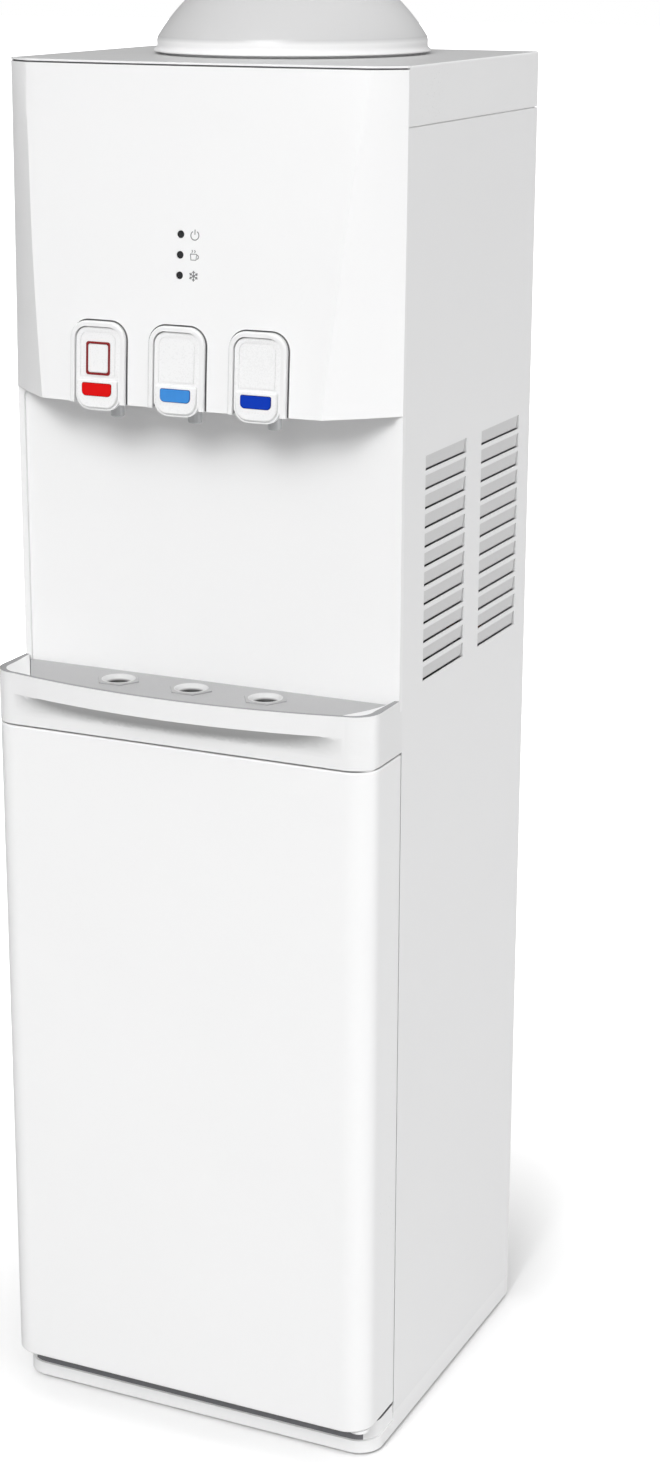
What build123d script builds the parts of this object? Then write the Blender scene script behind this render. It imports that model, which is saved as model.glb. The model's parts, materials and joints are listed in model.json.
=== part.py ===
from build123d import *
from math import atan2, cos, degrees, pi, sin, sqrt
import os

# Floor-standing water dispenser: a steel and plastic cabinet with three push taps over a
# drip tray, a storage cupboard below and a seat for an upturned bottle on top.
# Millimetres, +Z up, front towards -Y. The origin is on the floor, under the middle.

# Overall sizes
cabinet_width = 310
overall_depth = 360
cabinet_height = 1040

# Sheets, walls and fits
steel = 1.0
wall = 2.5
thick_wall = 3.0
seam = 1.5
fit = 0.3
loose_fit = 0.5
overrun = 2.0

# Depths along Y
lip_reach = 16
front_depth = 58
condenser_stand_off = 39
base_setback = 17
front_edge_y = -overall_depth / 2
face_y = front_edge_y + lip_reach
seam_y = face_y + front_depth
back_y = overall_depth / 2 - condenser_stand_off
side_x = cabinet_width / 2
side_inner_x = side_x - steel
flange_width = 14
flange_back_y = seam_y + steel
rear_inner_y = back_y - 2 * steel

# Heights: the taps, the niche, the tray and the shelves keep their distance from the top,
# and the storage cupboard takes what is left below them
side_bottom_z = 20
door_bottom_z = 30
head_height = 236
cover_skirt_depth = 41
cup_space = 209
housing_depth = 36
lip_proud = 3.5
deck_rise = 1
shelf_rise = 278
head_bottom_z = cabinet_height - head_height
tray_plate_z = head_bottom_z - cup_space
lip_top_z = tray_plate_z + lip_proud
housing_bottom_z = tray_plate_z - housing_depth
deck_z = housing_bottom_z + deck_rise
shelf_z = deck_z + shelf_rise
cover_skirt_z = cabinet_height - cover_skirt_depth
door_top_z = housing_bottom_z - seam
side_top_z = cover_skirt_z

# Front mouldings
corner_radius = 20
edge_round = 1.5

CENTRED = (Align.CENTER, Align.CENTER, Align.MIN)


def block(x0, x1, y0, y1, z0, z1):
    """A box between two opposite corners."""
    middle = Pos((x0 + x1) / 2, (y0 + y1) / 2, (z0 + z1) / 2)
    return middle * Box(x1 - x0, y1 - y0, z1 - z0)


def rod(radius, start, end):
    """A round bar between two points."""
    run = Vector(*end) - Vector(*start)
    frame = Plane(origin=start, z_dir=run)
    return frame * Cylinder(radius, run.length, align=CENTRED)


def post(radius, x, y, z0, z1):
    """An upright round bar."""
    return Pos(x, y, z0) * Cylinder(radius, z1 - z0, align=CENTRED)


def rise(face, z0, z1):
    """A plan outline drawn at height zero, raised into a solid."""
    return extrude(Pos(0, 0, z0) * face, amount=z1 - z0, dir=(0, 0, 1))


def profile_x(points, x0, x1):
    """A closed outline of (y, z) points, drawn out along X."""
    face = make_face(Polyline([(x0, y, z) for y, z in points], close=True))
    return extrude(face, amount=x1 - x0, dir=(1, 0, 0))


def profile_y(points, y0, y1):
    """A closed outline of (x, z) points, drawn out along Y."""
    face = make_face(Polyline([(x, y0, z) for x, z in points], close=True))
    return extrude(face, amount=y1 - y0, dir=(0, 1, 0))


def turned(points, x, y):
    """A closed outline of (radius, z) points, turned about an upright axis."""
    face = make_face(Polyline([(r, 0, z) for r, z in points], close=True))
    return Pos(x, y, 0) * revolve(face, Axis.Z)


def group(pieces):
    """Separate solids kept together in one node."""
    solids = [solid for piece in pieces for solid in piece.solids()]
    return Compound(children=solids)


def front_plan(y_front, back, inset=0, bow=0):
    """Plan outline of a front moulding: a front that may bow out, rounded corners, flat sides."""
    half = side_x - inset
    radius = corner_radius - inset
    y = y_front + inset
    turn_x = half - radius
    turn_y = y + radius
    diagonal = radius / sqrt(2)
    left_turn = ThreePointArc(
        (-half, turn_y), (-turn_x - diagonal, turn_y - diagonal), (-turn_x, y)
    )
    if bow:
        front = ThreePointArc((-turn_x, y), (0, y - bow), (turn_x, y))
    else:
        front = Line((-turn_x, y), (turn_x, y))
    right_turn = ThreePointArc(
        (turn_x, y), (turn_x + diagonal, turn_y - diagonal), (half, turn_y)
    )
    rest = Polyline((half, turn_y), (half, back), (-half, back), (-half, turn_y))
    return make_face([left_turn, front, right_turn, *rest.edges()])


def tube_along(points, radius, bend):
    """A round bar that follows straight runs joined by bends."""
    path = FilletPolyline(*points, radius=bend)
    start = Plane(origin=path @ 0, z_dir=path % 0)
    return sweep(start * Circle(radius), path=path)


def wound(radius, pitch, turns, wire):
    """A round wire wound in half turns, each a flat arc that climbs half a pitch."""
    reach = sqrt(radius ** 2 + (pitch / 4) ** 2)
    runs = []
    for index in range(2 * turns):
        side = 1 if index % 2 == 0 else -1
        z = index * pitch / 2
        runs.append(
            ThreePointArc(
                (side * radius, 0, z),
                (0, side * reach, z + pitch / 4),
                (-side * radius, 0, z + pitch / 2),
            )
        )
    path = Wire([edge for run in runs for edge in run.edges()])
    start = Plane(origin=path @ 0, z_dir=path % 0)
    return sweep(start * Circle(wire), path=path)


parts = {}

# Base plinth: a moulded tray that carries the two sides
base_front_y = face_y + base_setback
base_front_height = 13.5
base_floor_z = 3.0
base_rim = 5.0
spigot_height = 12
rib_width = 4
rib_count = 4
liner_bottom_z = 34

base_plan = front_plan(base_front_y, back_y)
base_hollow_plan = front_plan(base_front_y, back_y - base_rim, inset=base_rim)
base_side_rim = rise(base_plan, base_floor_z, side_bottom_z)
base_side_rim -= block(
    -side_x, side_x, base_front_y, seam_y, base_front_height, side_bottom_z + overrun
)
spigot_x = side_inner_x - fit
base_spigot = block(
    -spigot_x,
    spigot_x,
    flange_back_y + fit,
    rear_inner_y - fit,
    base_floor_z,
    side_bottom_z + spigot_height,
)
base_plinth = base_side_rim + base_spigot
base_plinth -= rise(base_hollow_plan, base_floor_z + thick_wall, base_front_height)
base_plinth -= block(
    -spigot_x + wall,
    spigot_x - wall,
    flange_back_y + fit + wall,
    rear_inner_y - fit - wall,
    base_floor_z + thick_wall,
    side_bottom_z + spigot_height + overrun,
)
rib_pitch = (rear_inner_y - flange_back_y) / (rib_count + 1)
for index in range(rib_count):
    rib_y = flange_back_y + rib_pitch * (index + 1)
    base_plinth += block(
        -spigot_x + fit,
        spigot_x - fit,
        rib_y - rib_width / 2,
        rib_y + rib_width / 2,
        base_floor_z + thick_wall / 2,
        liner_bottom_z,
    )
parts["base_plinth"] = base_plinth

# Rubber feet, pressed into the plinth's underside
foot_radius = 14
foot_inset = 28
foot_x = side_x - foot_inset
foot_front_y = base_front_y + foot_inset
foot_back_y = back_y - foot_inset
foot_places = [
    (x, y) for x in (-foot_x, foot_x) for y in (foot_front_y, foot_back_y)
]
feet = []
for x, y in foot_places:
    feet.append(post(foot_radius, x, y, 0, base_floor_z))
parts["rubber_feet"] = group(feet)

# Kick strip: a dark trim that closes the plinth under the door
strip_recess = 1.0
strip_top_z = 27
strip_plan = front_plan(base_front_y + strip_recess, flange_back_y - steel, inset=strip_recess)
strip_hollow = front_plan(
    base_front_y + strip_recess, flange_back_y, inset=strip_recess + thick_wall
)
kick_strip = rise(strip_plan, base_front_height, strip_top_z)
kick_strip -= rise(strip_hollow, base_front_height, strip_top_z - wall)
parts["kick_strip"] = kick_strip

# Side panels: painted steel sheets, folded in front and behind, with two banks of louvres
louvre_count = 12
louvre_pitch = 14.15
louvre_height = 10.9
louvre_depth = 2.2
louvre_slit = 0.8
louvre_rise = 4
louvre_bank_count = 2
louvre_bank_gap = 30
louvre_front_margin = 37.5
louvre_rear_margin = 23.5
louvre_bottom_z = lip_top_z + louvre_rise
louvre_front_y = seam_y + louvre_front_margin
louvre_field = back_y - louvre_rear_margin - louvre_front_y
louvre_length = (louvre_field - louvre_bank_gap) / louvre_bank_count


def louvre(y0, z0):
    """One pressed louvre: a sunk blade that leans in over a slit, and its two end cheeks."""
    top = z0 + louvre_height
    reach = side_x - louvre_depth
    lean = [(side_inner_x, top + steel), (side_inner_x, top)]
    lean += [(reach, z0 + louvre_slit), (reach - steel, z0 + louvre_slit)]
    lean += [(side_inner_x - steel, top + steel)]
    cheek = [(side_inner_x - steel, top), (side_x, top), (side_x, z0), (reach - steel, z0)]
    y1 = y0 + louvre_length
    blade = profile_y(lean, y0 - steel, y1 + steel)
    return blade + profile_y(cheek, y0 - steel, y0) + profile_y(cheek, y1, y1 + steel)


side_sheet = block(side_inner_x, side_x, seam_y, back_y, side_bottom_z, side_top_z)
for flange_y in (seam_y, back_y - steel):
    side_sheet += block(
        side_x - flange_width, side_x, flange_y, flange_y + steel, side_bottom_z, side_top_z
    )
bank_pitch = louvre_length + louvre_bank_gap
louvre_places = [
    (louvre_front_y + bank * bank_pitch, louvre_bottom_z + row * louvre_pitch)
    for bank in range(louvre_bank_count)
    for row in range(louvre_count)
]
slots = [
    block(side_inner_x - overrun, side_x + overrun, y, y + louvre_length, z, z + louvre_height)
    for y, z in louvre_places
]
side_sheet = side_sheet - slots + [louvre(y, z) for y, z in louvre_places]
parts["side_panel_right"] = side_sheet
parts["side_panel_left"] = mirror(side_sheet, about=Plane.YZ)

# Bottle seat place and the top cover that carries it
seat_back_gap = 104
seat_y = back_y - seat_back_gap
seat_foot_radius = 102.5
cover_hole_radius = 93
cover_collar_height = 14
cover_top_z = cabinet_height
cover_under_z = cover_top_z - thick_wall
cover_front_y = seam_y + fit

cover = block(-side_x, side_x, cover_front_y, back_y, cover_skirt_z + seam / 2, cover_top_z)
cover -= block(
    -side_x + thick_wall,
    side_x - thick_wall,
    cover_front_y - overrun,
    back_y - thick_wall,
    cover_skirt_z,
    cover_under_z,
)
cover_spigot_depth = 9
spigot_outer_x = side_inner_x - fit
for side in (-1, 1):
    inner = side * (spigot_outer_x - wall)
    outer = side * spigot_outer_x
    cover += block(
        min(inner, outer),
        max(inner, outer),
        flange_back_y + fit,
        rear_inner_y - fit,
        cover_skirt_z - cover_spigot_depth,
        cover_under_z,
    )
cover += post(cover_hole_radius + wall, 0, seat_y, cover_under_z - cover_collar_height, cover_under_z)
cover -= post(
    cover_hole_radius,
    0,
    seat_y,
    cover_under_z - cover_collar_height - overrun,
    cover_top_z + overrun,
)
cover_edges = cover.edges().filter_by(Axis.Y).group_by(Axis.Z)[-1]
parts["top_cover"] = fillet(cover_edges, edge_round)

# Head panel: the upper front, widening downwards, with soft bevels at each side
# From the bottom up: how far the bevel runs in from each side, and how far the face's
# corner, its middle and the bevel's rear edge stand in front of the seam
head_zs = [head_bottom_z, (head_bottom_z + cabinet_height) / 2, cabinet_height]
bevel_widths = [44, 32.5, 22]
corner_reaches = [44, 33.5, 16]
middle_reaches = [47, 38, 22]
bevel_end_reaches = [5, 2.5, 1]
head_levels = [
    (z, side_x - bevel, seam_y - corner, seam_y - middle, seam_y - end)
    for z, bevel, corner, middle, end in zip(
        head_zs, bevel_widths, corner_reaches, middle_reaches, bevel_end_reaches
    )
]
head_corner_share = 0.5


def head_plan(level, inset, back):
    """One level of the head: a bowed face between two bevels that run back to the sides."""
    z, face_half, corner_y, middle_y, end_y = level
    face_half = face_half - inset / 2
    half = side_x - inset
    corner = (face_half, corner_y + inset, z)
    end = (half, end_y + inset, z)
    soft_x = (face_half + half) / 2
    soft_y = corner_y + (end_y - corner_y) * head_corner_share + inset - wall / 2
    mirrored = [(-x, y, height) for x, y, height in (corner, (soft_x, soft_y, z), end)]
    front = ThreePointArc(mirrored[0], (0, middle_y + inset, z), corner)
    right = ThreePointArc(corner, (soft_x, soft_y, z), end)
    left = ThreePointArc(mirrored[2], mirrored[1], mirrored[0])
    rest = Polyline(end, (half, back, z), (-half, back, z), mirrored[2])
    return make_face([left, front, right, *rest.edges()])


def head_body(inset, back):
    return loft([head_plan(level, inset, back) for level in head_levels])


head_rear_y = seam_y
head_inside = head_body(wall, head_rear_y + overrun)
head_inside -= block(
    -side_x, side_x, front_edge_y, back_y, head_bottom_z - overrun, head_bottom_z + wall
)
head_inside -= block(
    -side_x, side_x, front_edge_y, back_y, cabinet_height - wall, cabinet_height + overrun
)

# Indicator lights, one above another on the middle line, and the bosses for their board
light_hole_radius = 2.7
light_rise = 93
light_pitch = 14
light_reaches = [39.9, 38.9, 37.7]
light_z = [head_bottom_z + light_rise + light_pitch * row for row in range(len(light_reaches))]
light_face_ys = [seam_y - reach for reach in light_reaches]
lens_length = 6
board_y = light_face_ys[-1] + lens_length + fit
board_half = 14
board_margin = 12
board_thickness = 1.6
board_boss_radius = 3
board_boss_x = board_half - board_boss_radius
for x in (-board_boss_x, board_boss_x):
    for z in (light_z[0] - board_margin + board_boss_radius, light_z[-1] + board_margin - board_boss_radius):
        head_inside -= rod(board_boss_radius, (x, face_y, z), (x, board_y, z))
head = head_body(0, head_rear_y) - head_inside

# Fine grooves in the head's face: one under its top edge, and one round each tap
groove_width = 1.0
groove_depth = 1.3
groove_drop = 1.5
head_core = head_body(groove_depth, head_rear_y + overrun)
top_groove = block(
    -side_x - overrun,
    side_x + overrun,
    front_edge_y,
    head_rear_y + overrun,
    cabinet_height - groove_drop - groove_width,
    cabinet_height - groove_drop,
)
head -= top_groove - head_core

# Taps: their pitch, their place on the head and the tilt of its face there
tap_pitch = 63
tap_names = ["hot", "ambient", "cold"]
tap_xs = [-tap_pitch, 0, tap_pitch]
tap_sink = 0.5
tap_face_y = head_levels[0][3] + tap_sink
tap_tilt_share = 0.8
head_lean = atan2(head_levels[1][3] - head_levels[0][3], head_levels[1][0] - head_levels[0][0])
tap_tilt = degrees(head_lean) * tap_tilt_share
bezel_half = 22.2
bezel_top = 58
bezel_rim = 3.8
bezel_round = 13
bezel_proud = 3.4
bezel_sleeve_depth = 12
opening_half = 20.2


def arch(half, bottom, top, top_round, bottom_round=0):
    """An upright outline with rounded top corners, drawn in a tap's own frame."""
    outline = Pos(0, (bottom + top) / 2) * Rectangle(2 * half, top - bottom)
    rows = outline.vertices().group_by(Axis.Y)
    outline = fillet(rows[-1], top_round)
    if bottom_round:
        outline = fillet(outline.vertices().group_by(Axis.Y)[0], bottom_round)
    return outline


def tap_solid(sketch, inner, outer):
    """A tap outline drawn out from one depth to another, outwards from the head's face."""
    return extrude(Plane.XZ.offset(inner) * sketch, amount=outer - inner)


def on_tap(solid, x):
    """Moves a piece from the tap's own frame to its place on the head."""
    return solid.moved(Location((x, tap_face_y, head_bottom_z), (-tap_tilt, 0, 0)))


opening_round = bezel_round - (bezel_half - opening_half)
opening_top = bezel_top - (bezel_half - opening_half)
nozzle_setback = 27.5
nozzle_y = tap_face_y + nozzle_setback
nozzle_radius = 5
nozzle_hole_radius = nozzle_radius + loose_fit
tap_groove = arch(
    bezel_half + groove_width, -wall - overrun, bezel_top + groove_width, bezel_round + groove_width
)
tap_groove -= arch(
    bezel_half - groove_width, -wall - overrun, bezel_top - groove_width, bezel_round - groove_width
)
for x in tap_xs:
    groove_run = tap_solid(tap_groove, -bezel_sleeve_depth, bezel_sleeve_depth)
    head -= on_tap(groove_run, x) - head_core
    tap_opening = tap_solid(
        arch(opening_half, -wall - overrun, opening_top, opening_round),
        -bezel_sleeve_depth,
        bezel_sleeve_depth,
    )
    head -= on_tap(tap_opening, x)
    head -= post(nozzle_hole_radius, x, nozzle_y, head_bottom_z - overrun, head_bottom_z + wall + overrun)

for z in light_z:
    head -= rod(light_hole_radius, (0, face_y, z), (0, board_y, z))
parts["head_panel"] = head

# Niche panel: a slightly hollow sheet behind the cup space, with a raised strip at each side
niche_foot = 5
niche_bottom_z = tray_plate_z - niche_foot
niche_strip_width = 5
niche_strip_depth = 5
niche_strip_y = seam_y - niche_strip_depth
niche_edge_y = seam_y - wall
niche_hollow = 5
niche_flat = 10
niche_corner = 8
strip_x = side_x - niche_strip_width
arc_x = strip_x - niche_flat

niche_front = ThreePointArc(
    (-arc_x, niche_edge_y), (0, niche_edge_y + niche_hollow), (arc_x, niche_edge_y)
)
niche_back = ThreePointArc((-arc_x, seam_y), (0, seam_y + niche_hollow), (arc_x, seam_y))
niche_right = Polyline(
    (arc_x, niche_edge_y),
    (strip_x, niche_edge_y),
    (strip_x, niche_strip_y),
    (side_x, niche_strip_y),
    (side_x, seam_y),
    (arc_x, seam_y),
)
niche_left = Polyline([(-v.X, v.Y) for v in niche_right.vertices()])
niche_plan = make_face([niche_front, *niche_right.edges(), niche_back, *niche_left.edges()])
niche = rise(niche_plan, niche_bottom_z, head_bottom_z)
for side in (-1, 1):
    corner_x = side * (strip_x - niche_corner)
    gusset = block(
        min(corner_x, side * strip_x),
        max(corner_x, side * strip_x),
        niche_strip_y,
        niche_edge_y,
        head_bottom_z - niche_corner,
        head_bottom_z,
    )
    gusset -= rod(
        niche_corner,
        (corner_x, niche_strip_y - overrun, head_bottom_z - niche_corner),
        (corner_x, niche_edge_y + overrun, head_bottom_z - niche_corner),
    )
    niche += gusset
parts["niche_panel"] = niche

# Tray housing: a trough that carries the drip tray, with a bowed lip over a hollow chin
chin_step = 7
lip_height = 15.5
chin_low_share = 0.01
chin_mid_share = 0.2
chin_bottom_z = housing_bottom_z + chin_step
lip_bottom_z = lip_top_z - lip_height
lip_wall = 3.5
housing_floor_z = housing_bottom_z + thick_wall
tray_ledge_z = lip_bottom_z + thick_wall
housing_back_y = seam_y
chin_mid_z = (chin_bottom_z + lip_bottom_z) / 2


def lip_plan(bow_share, inset=0, back=housing_back_y):
    return front_plan(face_y, back, inset=inset, bow=lip_reach * bow_share)


housing = rise(front_plan(face_y, housing_back_y), housing_bottom_z, chin_bottom_z)
housing += loft(
    [
        Pos(0, 0, chin_bottom_z) * lip_plan(chin_low_share),
        Pos(0, 0, chin_mid_z) * lip_plan(chin_mid_share),
        Pos(0, 0, lip_bottom_z) * lip_plan(1),
    ]
)
housing += rise(lip_plan(1), lip_bottom_z, lip_top_z)
pocket_back_y = niche_edge_y - wall
tray_end_share = 0.6
tray_end_round = 14


def between_ends(outline, inset):
    """Trims a tray outline to two ends that close in towards the front, with rounded corners."""
    wide = side_x - inset
    narrow = wide - (pocket_back_y - front_edge_y) * tray_end_share
    ends = Polyline(
        (-wide, pocket_back_y),
        (wide, pocket_back_y),
        (narrow, front_edge_y),
        (-narrow, front_edge_y),
        close=True,
    )
    trimmed = outline & make_face(ends)
    front_corners = trimmed.vertices().group_by(Axis.Y)[0]
    return fillet(front_corners, tray_end_round + lip_wall - inset)


pocket_plan = between_ends(front_plan(face_y, pocket_back_y, inset=lip_wall), lip_wall)
housing -= rise(pocket_plan, housing_floor_z, lip_top_z + overrun)
rim_pocket_plan = between_ends(lip_plan(1, lip_wall, pocket_back_y), lip_wall)
housing -= rise(rim_pocket_plan, tray_ledge_z, lip_top_z + overrun)
slope_inset = lip_wall + fit
slope_low_plan = between_ends(lip_plan(1, slope_inset, pocket_back_y + overrun), slope_inset)
slope_high_plan = lip_plan(1, lip_wall, pocket_back_y + overrun)
housing -= loft(
    [Pos(0, 0, tray_plate_z) * slope_low_plan, Pos(0, 0, lip_top_z + fit) * slope_high_plan],
    ruled=True,
)
niche_space = block(
    -side_x - overrun,
    side_x + overrun,
    niche_strip_y - fit,
    seam_y + overrun,
    niche_bottom_z,
    lip_top_z + overrun,
)
housing -= niche_space
parts["tray_housing"] = housing

# Drip tray: a loose basin with a rim that rests on the housing's ledge
tray_clearance = 0.5
tray_wall = 2.0
tray_bottom_z = housing_floor_z + fit
tray_rim_z = tray_plate_z - thick_wall
tray_back_y = pocket_back_y - tray_clearance


def basin_plan(inset, back):
    return between_ends(front_plan(face_y, back, inset=inset), inset)


def rim_plan(inset, back):
    return between_ends(lip_plan(1, inset, back), inset)


tray_inset = lip_wall + tray_clearance
tray_inner = tray_inset + tray_wall
tray_inner_y = tray_back_y - tray_wall
tray = rise(basin_plan(tray_inset, tray_back_y), tray_bottom_z, tray_ledge_z)
tray += rise(rim_plan(tray_inset, tray_back_y), tray_ledge_z, tray_rim_z)
tray -= rise(basin_plan(tray_inner, tray_inner_y), tray_bottom_z + tray_wall, tray_rim_z + overrun)
tray -= rise(rim_plan(tray_inner, tray_inner_y), tray_ledge_z + tray_wall, tray_rim_z + overrun)
parts["drip_tray"] = tray

# Drip grille: a plate with three funnelled holes, loose on the tray's rim
grille_hole_pitch = 60.5
grille_hole_inset = 28
grille_hole_y = face_y + grille_hole_inset
grille_hole_radius = 6.5
grille_boss_radius = 17
grille_boss_height = 1.0
grille_boss_sides = 6
funnel_depth = 14
funnel_throat = 5.5
funnel_radius = 12
funnel_wall = 1.5
grille_thickness = thick_wall
grille_back_y = niche_strip_y - tray_clearance
funnel_low_z = tray_plate_z - funnel_depth
throat_z = tray_plate_z - funnel_throat

grille = rise(rim_plan(tray_inset, grille_back_y), tray_rim_z, tray_rim_z + grille_thickness)
for x in (-grille_hole_pitch, 0, grille_hole_pitch):
    boss = Pos(x, grille_hole_y) * RegularPolygon(grille_boss_radius, grille_boss_sides)
    grille += rise(boss, tray_plate_z, tray_plate_z + grille_boss_height)
    spout = [
        (0, funnel_low_z),
        (grille_hole_radius + funnel_wall, funnel_low_z),
        (grille_hole_radius + funnel_wall, throat_z - funnel_wall),
        (funnel_radius + funnel_wall, tray_rim_z),
        (funnel_radius + funnel_wall, tray_plate_z),
        (0, tray_plate_z),
    ]
    grille += turned(spout, x, grille_hole_y)
    funnel = [
        (0, funnel_low_z - overrun),
        (grille_hole_radius, funnel_low_z - overrun),
        (grille_hole_radius, throat_z),
        (funnel_radius, tray_plate_z + grille_boss_height),
        (funnel_radius, tray_plate_z + grille_boss_height + overrun),
        (0, tray_plate_z + grille_boss_height + overrun),
    ]
    grille -= turned(funnel, x, grille_hole_y)
parts["drip_grille"] = grille

# Door: a deep moulded pan with a liner behind it, hung near its front right corner
hinge_inset_x = 10
hinge_inset_y = 14
hinge_x = side_x - hinge_inset_x
hinge_y = face_y + hinge_inset_y
pin_radius = 2.5
pin_clearance = 0.2
pin_reach = 12
door_back_y = seam_y - seam
liner_setback = 2.5
boss_radius = 6
boss_depth = 14

door = rise(front_plan(face_y, door_back_y), door_bottom_z, door_top_z)
door_front_edges = door.edges().filter_by(Plane.XY).filter_by(
    lambda edge: edge.center().Y < door_back_y - overrun and abs(edge.center().X) < side_x
)
door = fillet(door_front_edges, edge_round)
door -= rise(
    front_plan(face_y, door_back_y + overrun, inset=wall), door_bottom_z + wall, door_top_z - wall
)
for z0, z1 in (
    (door_bottom_z, door_bottom_z + boss_depth),
    (door_top_z - boss_depth, door_top_z),
):
    door += post(boss_radius, hinge_x, hinge_y, z0 + edge_round, z1 - edge_round)
    door -= post(
        pin_radius + pin_clearance, hinge_x, hinge_y, z0 - overrun, z1 + overrun
    )
parts["door_panel"] = door

# Door liner: closes the pan's back, with a pressed field that stiffens it
liner_margin = 24
liner_press = 8
liner_x = side_x - wall - fit
field_x = liner_x - liner_margin
liner_low = door_bottom_z + wall + fit
liner_high = door_top_z - wall - fit
liner_back_y = door_back_y - liner_setback
door_liner = block(-liner_x, liner_x, liner_back_y - wall, liner_back_y, liner_low, liner_high)
door_liner += block(
    -field_x - wall,
    field_x + wall,
    liner_back_y - wall - liner_press,
    liner_back_y - wall,
    liner_low + liner_margin - wall,
    liner_high - liner_margin + wall,
)
door_liner -= block(
    -field_x,
    field_x,
    liner_back_y - liner_press,
    liner_back_y + overrun,
    liner_low + liner_margin,
    liner_high - liner_margin,
)
parts["door_liner"] = door_liner

# Hinges: a lug with a pin under the door, and a pin plate inside the tray housing above it
lug_radius = 8
lug_top_z = door_bottom_z - fit
lower_hinge = post(lug_radius, hinge_x, hinge_y, strip_top_z, lug_top_z)
lower_hinge += block(
    hinge_x - lug_radius, hinge_x, hinge_y, base_front_y + lug_radius, strip_top_z, lug_top_z
)
lower_hinge += post(pin_radius, hinge_x, hinge_y, strip_top_z, lug_top_z + pin_reach)
upper_hinge = post(
    pin_radius, hinge_x, hinge_y, door_top_z - pin_reach, housing_bottom_z
)
upper_hinge += post(lug_radius, hinge_x, hinge_y, door_top_z + fit, housing_bottom_z)
parts["door_hinges"] = group([lower_hinge, upper_hinge])

# Storage liner: the open-fronted box behind the door
storage_gap = 10
storage_top_z = deck_z - storage_gap
storage_wall = 2.0
storage_x = side_inner_x - flange_width / 2
storage_back_y = rear_inner_y - flange_width / 2
storage_front_y = flange_back_y
storage = block(
    -storage_x, storage_x, storage_front_y, storage_back_y, liner_bottom_z, storage_top_z
)
storage += block(
    -spigot_x,
    spigot_x,
    storage_front_y,
    storage_front_y + storage_wall,
    liner_bottom_z,
    storage_top_z,
)
storage -= block(
    -storage_x + storage_wall,
    storage_x - storage_wall,
    storage_front_y - overrun,
    storage_back_y - storage_wall,
    liner_bottom_z + storage_wall,
    storage_top_z - storage_wall,
)
parts["storage_liner"] = storage

# Magnetic catch on the storage frame and the strike plate on the door's liner
catch_height = 40
catch_z = (door_bottom_z + door_top_z - catch_height) / 2
catch_width = 9
strike_thickness = 1.0
catch_gap = 0.4
catch_edge_x = -side_x + flange_width + fit
catch_front_y = liner_back_y + strike_thickness + catch_gap
storage_edge_x = -storage_x + storage_wall
catch_root_y = storage_front_y + fit
catch_body = block(
    catch_edge_x,
    catch_edge_x + catch_width,
    catch_front_y,
    catch_root_y,
    catch_z,
    catch_z + catch_height,
)
catch_body += block(
    storage_edge_x,
    catch_edge_x + catch_width,
    catch_root_y,
    catch_root_y + catch_width,
    catch_z,
    catch_z + catch_height,
)
parts["door_catch"] = catch_body
parts["door_strike"] = block(
    catch_edge_x,
    catch_edge_x + catch_width,
    liner_back_y,
    liner_back_y + strike_thickness,
    catch_z,
    catch_z + catch_height,
)

# Places of the hot tank and the compressor, side by side on the deck: the room that they
# leave between the sides is shared out among the gaps
hot_radius = 42
hot_jacket = 9
foot_plate_half_x = 68
hot_half = hot_radius + fit + hot_jacket
deck_room = 2 * (side_inner_x - hot_half - foot_plate_half_x)
hot_gap_share = 0.356
compressor_gap_share = 0.288
hot_x = hot_half + deck_room * hot_gap_share - side_inner_x
compressor_x = side_inner_x - foot_plate_half_x - deck_room * compressor_gap_share

# Rear panel: a steel sheet inside the sides' folds, with louvre slots and service holes
rear_bottom_z = side_bottom_z + spigot_height + seam
rear_top_z = cover_skirt_z - seam
rear_x = side_inner_x - fit
rear_panel = block(-rear_x, rear_x, rear_inner_y, rear_inner_y + steel, rear_bottom_z, rear_top_z)
rear_slot_count = 9
rear_slot_length = 60
rear_slot_height = 4
rear_slot_pitch = 14
rear_slot_rise = 90
rear_slot_inset = 65
rear_slot_z = deck_z + rear_slot_rise
rear_slot_x = side_x - rear_slot_inset
rear_slot_xs = [-rear_slot_x, 0]
for row in range(rear_slot_count):
    for x in rear_slot_xs:
        slot = Pos(x, rear_slot_z + row * rear_slot_pitch) * SlotOverall(
            rear_slot_length, rear_slot_height
        )
        cut = Plane.XZ.offset(-back_y - overrun) * slot
        rear_panel -= extrude(cut, amount=2 * overrun + 2 * steel)
drain_x = hot_x
drain_rise = 45
drain_z = deck_z + drain_rise
drain_radius = 9
drain_hole_radius = drain_radius + fit
switch_inset = 43
switch_pitch = 30
switch_rise = 62
switch_xs = [switch_inset - side_x, switch_inset + switch_pitch - side_x]
switch_z = shelf_z + switch_rise
switch_cut_width = 21
switch_cut_height = 28
gland_inset = 55
gland_rise = 25
gland_x = side_x - gland_inset
gland_z = deck_z + gland_rise
gland_radius = 9


for x, z, radius in (
    (drain_x, drain_z, drain_hole_radius),
    (gland_x, gland_z, gland_radius + fit),
):
    rear_panel -= rod(radius, (x, rear_inner_y - overrun, z), (x, back_y + overrun, z))
switch_frame_width = switch_xs[1] - switch_xs[0] + switch_cut_width
switch_middle_x = (switch_xs[0] + switch_xs[1]) / 2
rear_panel -= block(
    switch_middle_x - switch_frame_width / 2,
    switch_middle_x + switch_frame_width / 2,
    rear_inner_y - overrun,
    back_y + overrun,
    switch_z - switch_cut_height / 2,
    switch_z + switch_cut_height / 2,
)

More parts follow.
